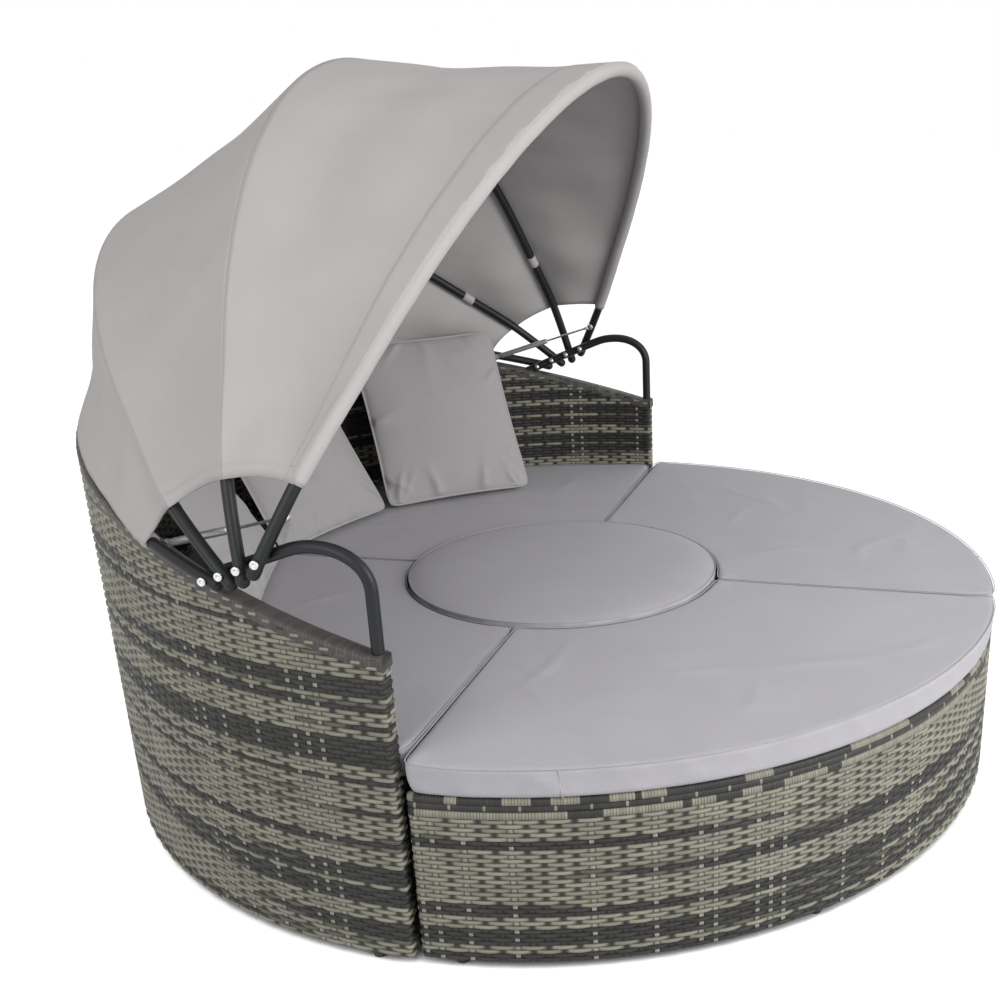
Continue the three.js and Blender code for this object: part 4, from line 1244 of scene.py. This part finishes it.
# Throw pillows: two crowned faces that meet in a drawn-in edge between pointed corners
pillow = {
    "wide": 0.37,
    "high": 0.42,
    "thick": 0.12,
    "drawIn": 0.006,
    "tip": 0.035,
    "lean": 31 * degree,
    "angles": (110, 75.5, 41),
    "backGap": 0.0365,
    "base": 0.3783,
    "edgePower": 0.52,
    "cells": 60,
    "closer": 0.9,
    "tipPower": 12,
    "fullness": 0.9,
    "caps": (0.003, 0.014),
    "capsNear": 0.05,
    "pleats": 17,
    "creases": 8,
    "pleatsNear": 0.012,
    "pressure": 3.5,
    "slack": 0.035,
    "steps": 18,
    "bend": 0.4,
    "seam": (0.0036, 0.0013),
    "bottomSpots": ((-0.155, -0.175, 1.1), (-0.06, -0.19, 1.6), (0.065, -0.19, 1.5), (0.155, -0.175, 2.0)),
}


# Pleats run in from the seam, deeper ones from the bottom where the weight sits, and
# broad creases cross the middle
def pillowPleats(x, z, seed):
    chance = np.random.default_rng(seed + 3)
    spots = []
    for _ in range(pillow["pleats"]):
        edge, slide = chance.integers(4), chance.uniform(-0.9, 0.9)
        spot = [(slide, -0.93), (slide, 0.93), (-0.93, slide), (0.93, slide)][edge]
        spots.append((spot[0] * 0.18, spot[1] * 0.2, (math.pi / 2 if edge < 2 else 0) + slide * 0.5))
    ranges = (-0.12, 0.12), (-0.14, 0.14), (0, 3.1)
    broad = [[chance.uniform(*ends) for ends in ranges] for _ in range(pillow["creases"])]
    return (
        creases(x, z, spots, seed + 4, (0.025, 0.055), (0.006, 0.009), (0.003, 0.007))
        + creases(x, z, pillow["bottomSpots"], seed + 6, (0.03, 0.05), (0.006, 0.009), (0.006, 0.01))
        + creases(x, z, broad, seed + 5, (0.04, 0.09), (0.012, 0.02), (-0.004, 0.004))
    )


def throwPillow(name, azimuth, seed):
    size = pillow["cells"] + 1
    line = np.linspace(-1, 1, size) * math.pi / 2 * pillow["closer"]
    line = np.sin(line) / math.sin(line[-1])
    u, v = np.meshgrid(line, line, indexing="ij")
    blunt = 1 - pillow["tip"] * np.abs(u * v) ** pillow["tipPower"]
    x = u * (pillow["wide"] / 2 - pillow["drawIn"] * (1 - v * v)) * blunt
    z = v * (pillow["high"] / 2 - pillow["drawIn"] * (1 - u * u)) * blunt
    crown = np.maximum((1 - u * u) * (1 - v * v), 0) ** pillow["edgePower"]
    crown = crown * pillow["thick"] / 2 * pillow["fullness"]
    # the back shares the border's points with the front
    ids = np.arange(size * size)
    border = borderLoop(size, size)
    inner = np.setdiff1d(ids, border)
    under = ids.copy()
    under[inner] = len(ids) + np.arange(len(inner))
    front = np.stack([x, crown, z], -1).reshape(-1, 3)
    points = np.concatenate([front, front[inner] * (1, -1, 1)])
    faces = gridFaces(size, size)
    faces = np.concatenate([faces[:, ::-1], under[faces]])
    # leaning back about x, then out to its radius and round the ring
    cosL, sinL = math.cos(pillow["lean"]), math.sin(pillow["lean"])
    out = wallInner - pillow["backGap"] - pillow["high"] / 2 * sinL
    y = points[:, 1] * cosL + points[:, 2] * sinL + out
    up = points[:, 2] * cosL - points[:, 1] * sinL + pillow["base"] + pillow["high"] / 2 * cosL
    turn = (azimuth - 90) * degree
    c, s = math.cos(turn), math.sin(turn)
    placed = np.stack([points[:, 0] * c - y * s, points[:, 0] * s + y * c, up], -1)
    obj = addObject(name + "_cloth", placed, faces, pillowCloth, "sofa", "pillow_cloth", [name])
    near = np.append(crown.ravel(), crown.ravel()[inner])
    atSeam, more = pillow["caps"]
    cap = atSeam + more * np.clip(near / pillow["capsNear"], 0, 1)
    inflate(obj, border, pillow["pressure"], pillow["slack"], cap, pillow["steps"], pillow["bend"])
    co = coordinates(obj)
    pleat = (pillowPleats(x, z, seed) * np.minimum(1, crown / pillow["pleatsNear"])).ravel()
    outward = np.array([-s * cosL, c * cosL, -sinL])
    co[:len(ids)] += outward * pleat[:, None]
    co[len(ids):] -= outward * pleat[inner][:, None]
    setCoordinates(obj, co)
    seam = loopMesh(co[border] - (0, ringY, 0), outward, *pillow["seam"], 8)
    addObject(name + "_seam", *seam, pillowCloth, "sofa", "pillow_cloth")
    smoothed(obj)


for index, word in enumerate(("left", "middle", "right")):
    throwPillow(word + "_pillow", pillow["angles"][index], 41 + index)
print("pillows done")

# Canopy cloth: three fields of one sheet that meet on the bows
cloth = {
    "hem": 0.124,
    "standoff": (0.0125, 0.0122, 0.0122, 0.0125),
    "thick": 0.0012,
    "band": 0.0022,
    "dent": 0.7,
    "hemBand": 0.022,
    "frontBand": 0.055,
    "edge": 0.0012,
    "sag": 0.014,
    "fold": 0.007,
    "folds": 5,
    "scallop": 0.007,
    "edgePower": 6,
    "pull": (0.0022, 46),
    "uneven": (0.22, 0.010),
    "puff": (1.6 * degree, 1.6 * degree, 6 * degree),
    "settle": (0.011, 0.15),
    "frontDepth": 0.37,
    "across": 180,
    "along": 40,
}


# The line of a field's edge: it stands off square to the bow, outward in the bow's plane
def clothLine(index, share, standoff):
    angle = archSweep(index, cloth["hem"], share)
    x, reach = archAt(index, angle)
    x2, reach2 = archAt(index, angle - 0.02)
    out = standoff / np.hypot(x2 - x, reach - reach2)
    return bowPoint(index, mirrored(x + (reach - reach2) * out, share), reach + (x2 - x) * out)


def clothPanel(index):
    line = clothLine(index, np.linspace(-1, 1, 200), 0)
    half = np.linalg.norm(np.diff(line, axis=0), axis=1).sum() / 2
    fold = 1 - cloth["hemBand"] / half
    front = 1 - cloth["frontBand"] / cloth["frontDepth"]
    stitches = np.array([-1, 0, 1]) * cloth["edge"]
    share = np.linspace(-1, 1, cloth["across"] + 1)
    share = np.unique([*share, *(fold + stitches / half), *(-fold - stitches / half)])
    along = np.linspace(0, 1, cloth["along"] + 1)
    if index == 2:
        along = np.unique([*along, *(front + stitches / cloth["frontDepth"])])
    along = along[:, None]
    start = clothLine(index, share, cloth["standoff"][index])
    end = clothLine(index + 1, share, cloth["standoff"][index + 1])
    point = start * (1 - along[..., None]) + end * along[..., None]
    y, z = pivotPlace(index + 1)
    outward = unit(point - (0, y, z))
    # folds run from bow to bow: their crests keep to lines of equal share
    waves = np.sin(np.abs(share) * cloth["folds"] * math.pi) * cloth["fold"] * share * share
    strength, count = cloth["pull"]
    pull = np.sin(share * count + np.sin(along * 5 + index) * 0.7) * strength * (0.35 + share * share)
    fine = ripples(point, *cloth["uneven"], 61 + index, 9)
    belly = np.sin(along * math.pi)
    inward = (cloth["sag"] + waves + fine + pull) * belly
    hem = cloth["scallop"] * np.abs(share) ** cloth["edgePower"] * belly
    point = point - outward * inward[..., None] + unit(outward * (0, 1, 1)) * hem[..., None]
    # the hems and the front edge are folded over and stitched: two layers, and a dent at the stitches
    isFront = index == 2
    double = (np.abs(share) >= fold) | ((along >= front) & isFront)
    dent = (np.abs(np.abs(share) - fold) < 1e-9) | ((np.abs(along - front) < 1e-9) & isFront)
    thick = np.where(double, cloth["band"], cloth["thick"])
    return point, along, np.where(dent, cloth["thick"] * cloth["dent"], thick)


# A closed sheet: its upper side lies half a thickness over the grid
def sheetMesh(grid, thick):
    rows, columns = grid.shape[:2]
    normal = unit(np.cross(np.gradient(grid, axis=1), np.gradient(grid, axis=0)))
    upper = grid + normal * cloth["thick"] / 2
    lower = upper - normal * thick
    count = rows * columns
    faces = gridFaces(rows, columns)
    loop = borderLoop(rows, columns)
    follow = np.roll(loop, -1)
    belt = np.stack([loop, loop + count, follow + count, follow], -1)
    points = np.concatenate([upper.reshape(-1, 3), lower.reshape(-1, 3)])
    return points, np.concatenate([faces, faces[:, ::-1] + count, belt]).tolist()


for index, word in enumerate(("rear", "middle", "front")):
    name = "canopy_cloth_" + word
    grid, along, thick = clothPanel(index)
    mesh = sheetMesh(grid, thick[..., None])
    obj = addObject(name + "_sheet", *mesh, canopyCloth, None, "canopy_cloth", [name])
    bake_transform(obj)

# Sleeves of the same cloth on the rear and the front bow, from hem to hem; the two bows
# between them run bare inside the canopy and carry it with loops
sleeve = {"radius": 0.0128, "uneven": (0.06, 0.0007), "loop": 0.0109, "wide": 0.024, "places": (0.255, 0.47)}

for index in (0, 3):
    line = wholeBow(index, cloth["hem"], 120)
    radius = sleeve["radius"] + ripples(line, *sleeve["uneven"], 71 + index)
    mesh = tubeMesh(line, radius, 20)
    addObject(bowNames[index] + "_sleeve", *mesh, canopyCloth, bowBodies[index], "canopy_cloth")

half = sleeve["wide"] / 2
for index in (1, 2):
    pairs = [(place, side) for place in sleeve["places"] for side in (-1, 1)]
    lines = [bowPart(index, place - half, place + half, side) for place, side in pairs]
    x, reach = archAt(index, math.pi / 2 + np.linspace(-1, 1, 7) * half / ring["rail"])
    lines.append(bowPoint(index, x, reach))
    mesh = joined([tubeMesh(line, sleeve["loop"], 20) for line in lines])
    addObject(bowNames[index] + "_loops", *mesh, canopyCloth, bowBodies[index], "canopy_cloth")

# Two tapes for tying the folded canopy hang from the rear bow's sleeve, inside the wall;
# each has its place in degrees round the ring, its drop and its sway
tapes = {
    "wide": 0.02,
    "thick": 0.0012,
    "radius": 0.8605,
    "places": ((95.1, 0.115, -0.006), (96.9, 0.14, 0.012)),
}


def tape(azimuth, drop, sway):
    angle = azimuth * degree
    top = wallTop(ring["rail"] * math.sin(angle)) + canopy["tube"] + canopy["rest"]
    # over the sleeve, down its inner side, and then free beside the wall
    turn = np.linspace(math.pi / 2, math.pi, 9)
    radial, high = (polar(sleeve["radius"] + 0.001, turn) + (ring["rail"], top)).T
    fall = np.linspace(0, 1, 22)[1:]
    radial = np.append(radial, radial[-1] + (tapes["radius"] - radial[-1]) * (1 - (1 - fall) ** 3))
    high = np.append(high, high[-1] - drop * fall)
    slide = np.append(0 * turn, sway * fall ** 2)
    left, right = (polar(radial, angle + (slide + edge) / ring["rail"], high) for edge in (-half, half))
    grid = np.stack([left * (1 - s) + right * s for s in np.linspace(0, 1, 5)], 1)
    return sheetMesh(grid, tapes["thick"])


half = tapes["wide"] / 2
mesh = joined([tape(*place) for place in tapes["places"]])
addObject("canopy_tie_tapes", *mesh, canopyCloth, "sofa", "canopy_cloth")

# The four bows' names, each in a variable of its own
rear, second, third, front = bowNames
print("canopy done")

# Camera: the photograph is an off-centre crop, which the lens shift repeats
view = {
    "place": (-2.5178, -0.7832, 1.3003),
    "yaw": 0.2317,
    "pitch": 0.4032,
    "roll": -0.0189,
    "focal": 1306.4,
    "centre": (650, 650),
    "picture": 1000,
    "sensor": 36,
}


def matrixOf(right, up, back, place):
    matrix = np.eye(4)
    matrix[:3] = np.stack([right, up, back, place], 1)
    return Matrix(matrix.tolist())


lens = bpy.data.cameras.new("camera")
camera = linked("camera", lens)
forward = np.append(polar(math.cos(view["pitch"]), view["yaw"]), -math.sin(view["pitch"]))
right = unit(np.cross(forward, (0, 0, 1)))
up = np.cross(right, forward)
c, s = math.cos(view["roll"]), math.sin(view["roll"])
camera.matrix_world = matrixOf(c * right + s * up, c * up - s * right, -forward, view["place"])
lens.sensor_fit = "HORIZONTAL"
lens.sensor_width = view["sensor"]
lens.lens = view["focal"] * view["sensor"] / view["picture"]
lens.shift_x = 0.5 - view["centre"][0] / view["picture"]
lens.shift_y = view["centre"][1] / view["picture"] - 0.5
lens.clip_end = 100
bpy.context.scene.camera = camera

# Floor: white where the camera sees it. The glow fades where the floor is shut in, as in
# the slits between the pieces and beside their bases: painted shade, over the floor's real shadow
stage = {"half": 30, "color": (0.42, 0.42, 0.42), "paintedShadow": (0.7, 0.2, 0.45), "glow": 0.8, "skyLamp": 0.62}
floorMesh = bpy.data.meshes.new("floor")
corners = [(x * stage["half"], y * stage["half"], 0) for x, y in ((-1, -1), (1, -1), (1, 1), (-1, 1))]
floorMesh.from_pydata(corners, [], [(0, 1, 2, 3)])
floor = linked("floor", floorMesh)


def seenRays(g):
    return g.node("ShaderNodeLightPath", {}, {}, "Is Camera Ray").larger(
        g.node("ShaderNodeLightPath", {}, {}, "Is Glossy Ray"))


g = Graph(bpy.data.materials.new("floor"))
distance, shut, free = stage["paintedShadow"]
# ambient occlusion dims the floor's glow: painted shade where the floor is shut in
openness = g.node("ShaderNodeAmbientOcclusion", {"samples": 12}, {"Distance": distance}, "AO")
floorMesh.materials.append(g.finish({
    "Base Color": stage["color"],
    "Roughness": 0.9,
    "Specular IOR Level": 0.1,
    "Emission Color": seenRays(g) * openness.ramp(shut, free, 0.0, stage["glow"]),
    "Emission Strength": 1.0,
}))

# Sky: full white to the camera, softer as a lamp
world = bpy.data.worlds.new("sky")
bpy.context.scene.world = world
g = Graph(world)
strength = seenRays(g) * (1 - stage["skyLamp"]) + stage["skyLamp"]
g.finish({"Color": (1, 1, 1), "Strength": strength}, "Background", "OutputWorld")


def areaLight(name, place, target, size, energy):
    data = bpy.data.lights.new(name, "AREA")
    data.shape = "SQUARE"
    data.size = size
    data.energy = energy
    back = unit(np.array(place, float) - target)
    side = unit(np.cross((0, 0, 1), back))
    linked(name, data).matrix_world = matrixOf(side, np.cross(back, side), back, place)


areaLight("key", (-1.4, -3.6, 1.9), (0, 0, 0.4), 2.2, 135)
areaLight("fill", (-3.4, 1.2, 1.9), (0, 0, 0.5), 2.0, 46)

bpy.context.scene.view_settings.view_transform = "Standard"
print("stage done")
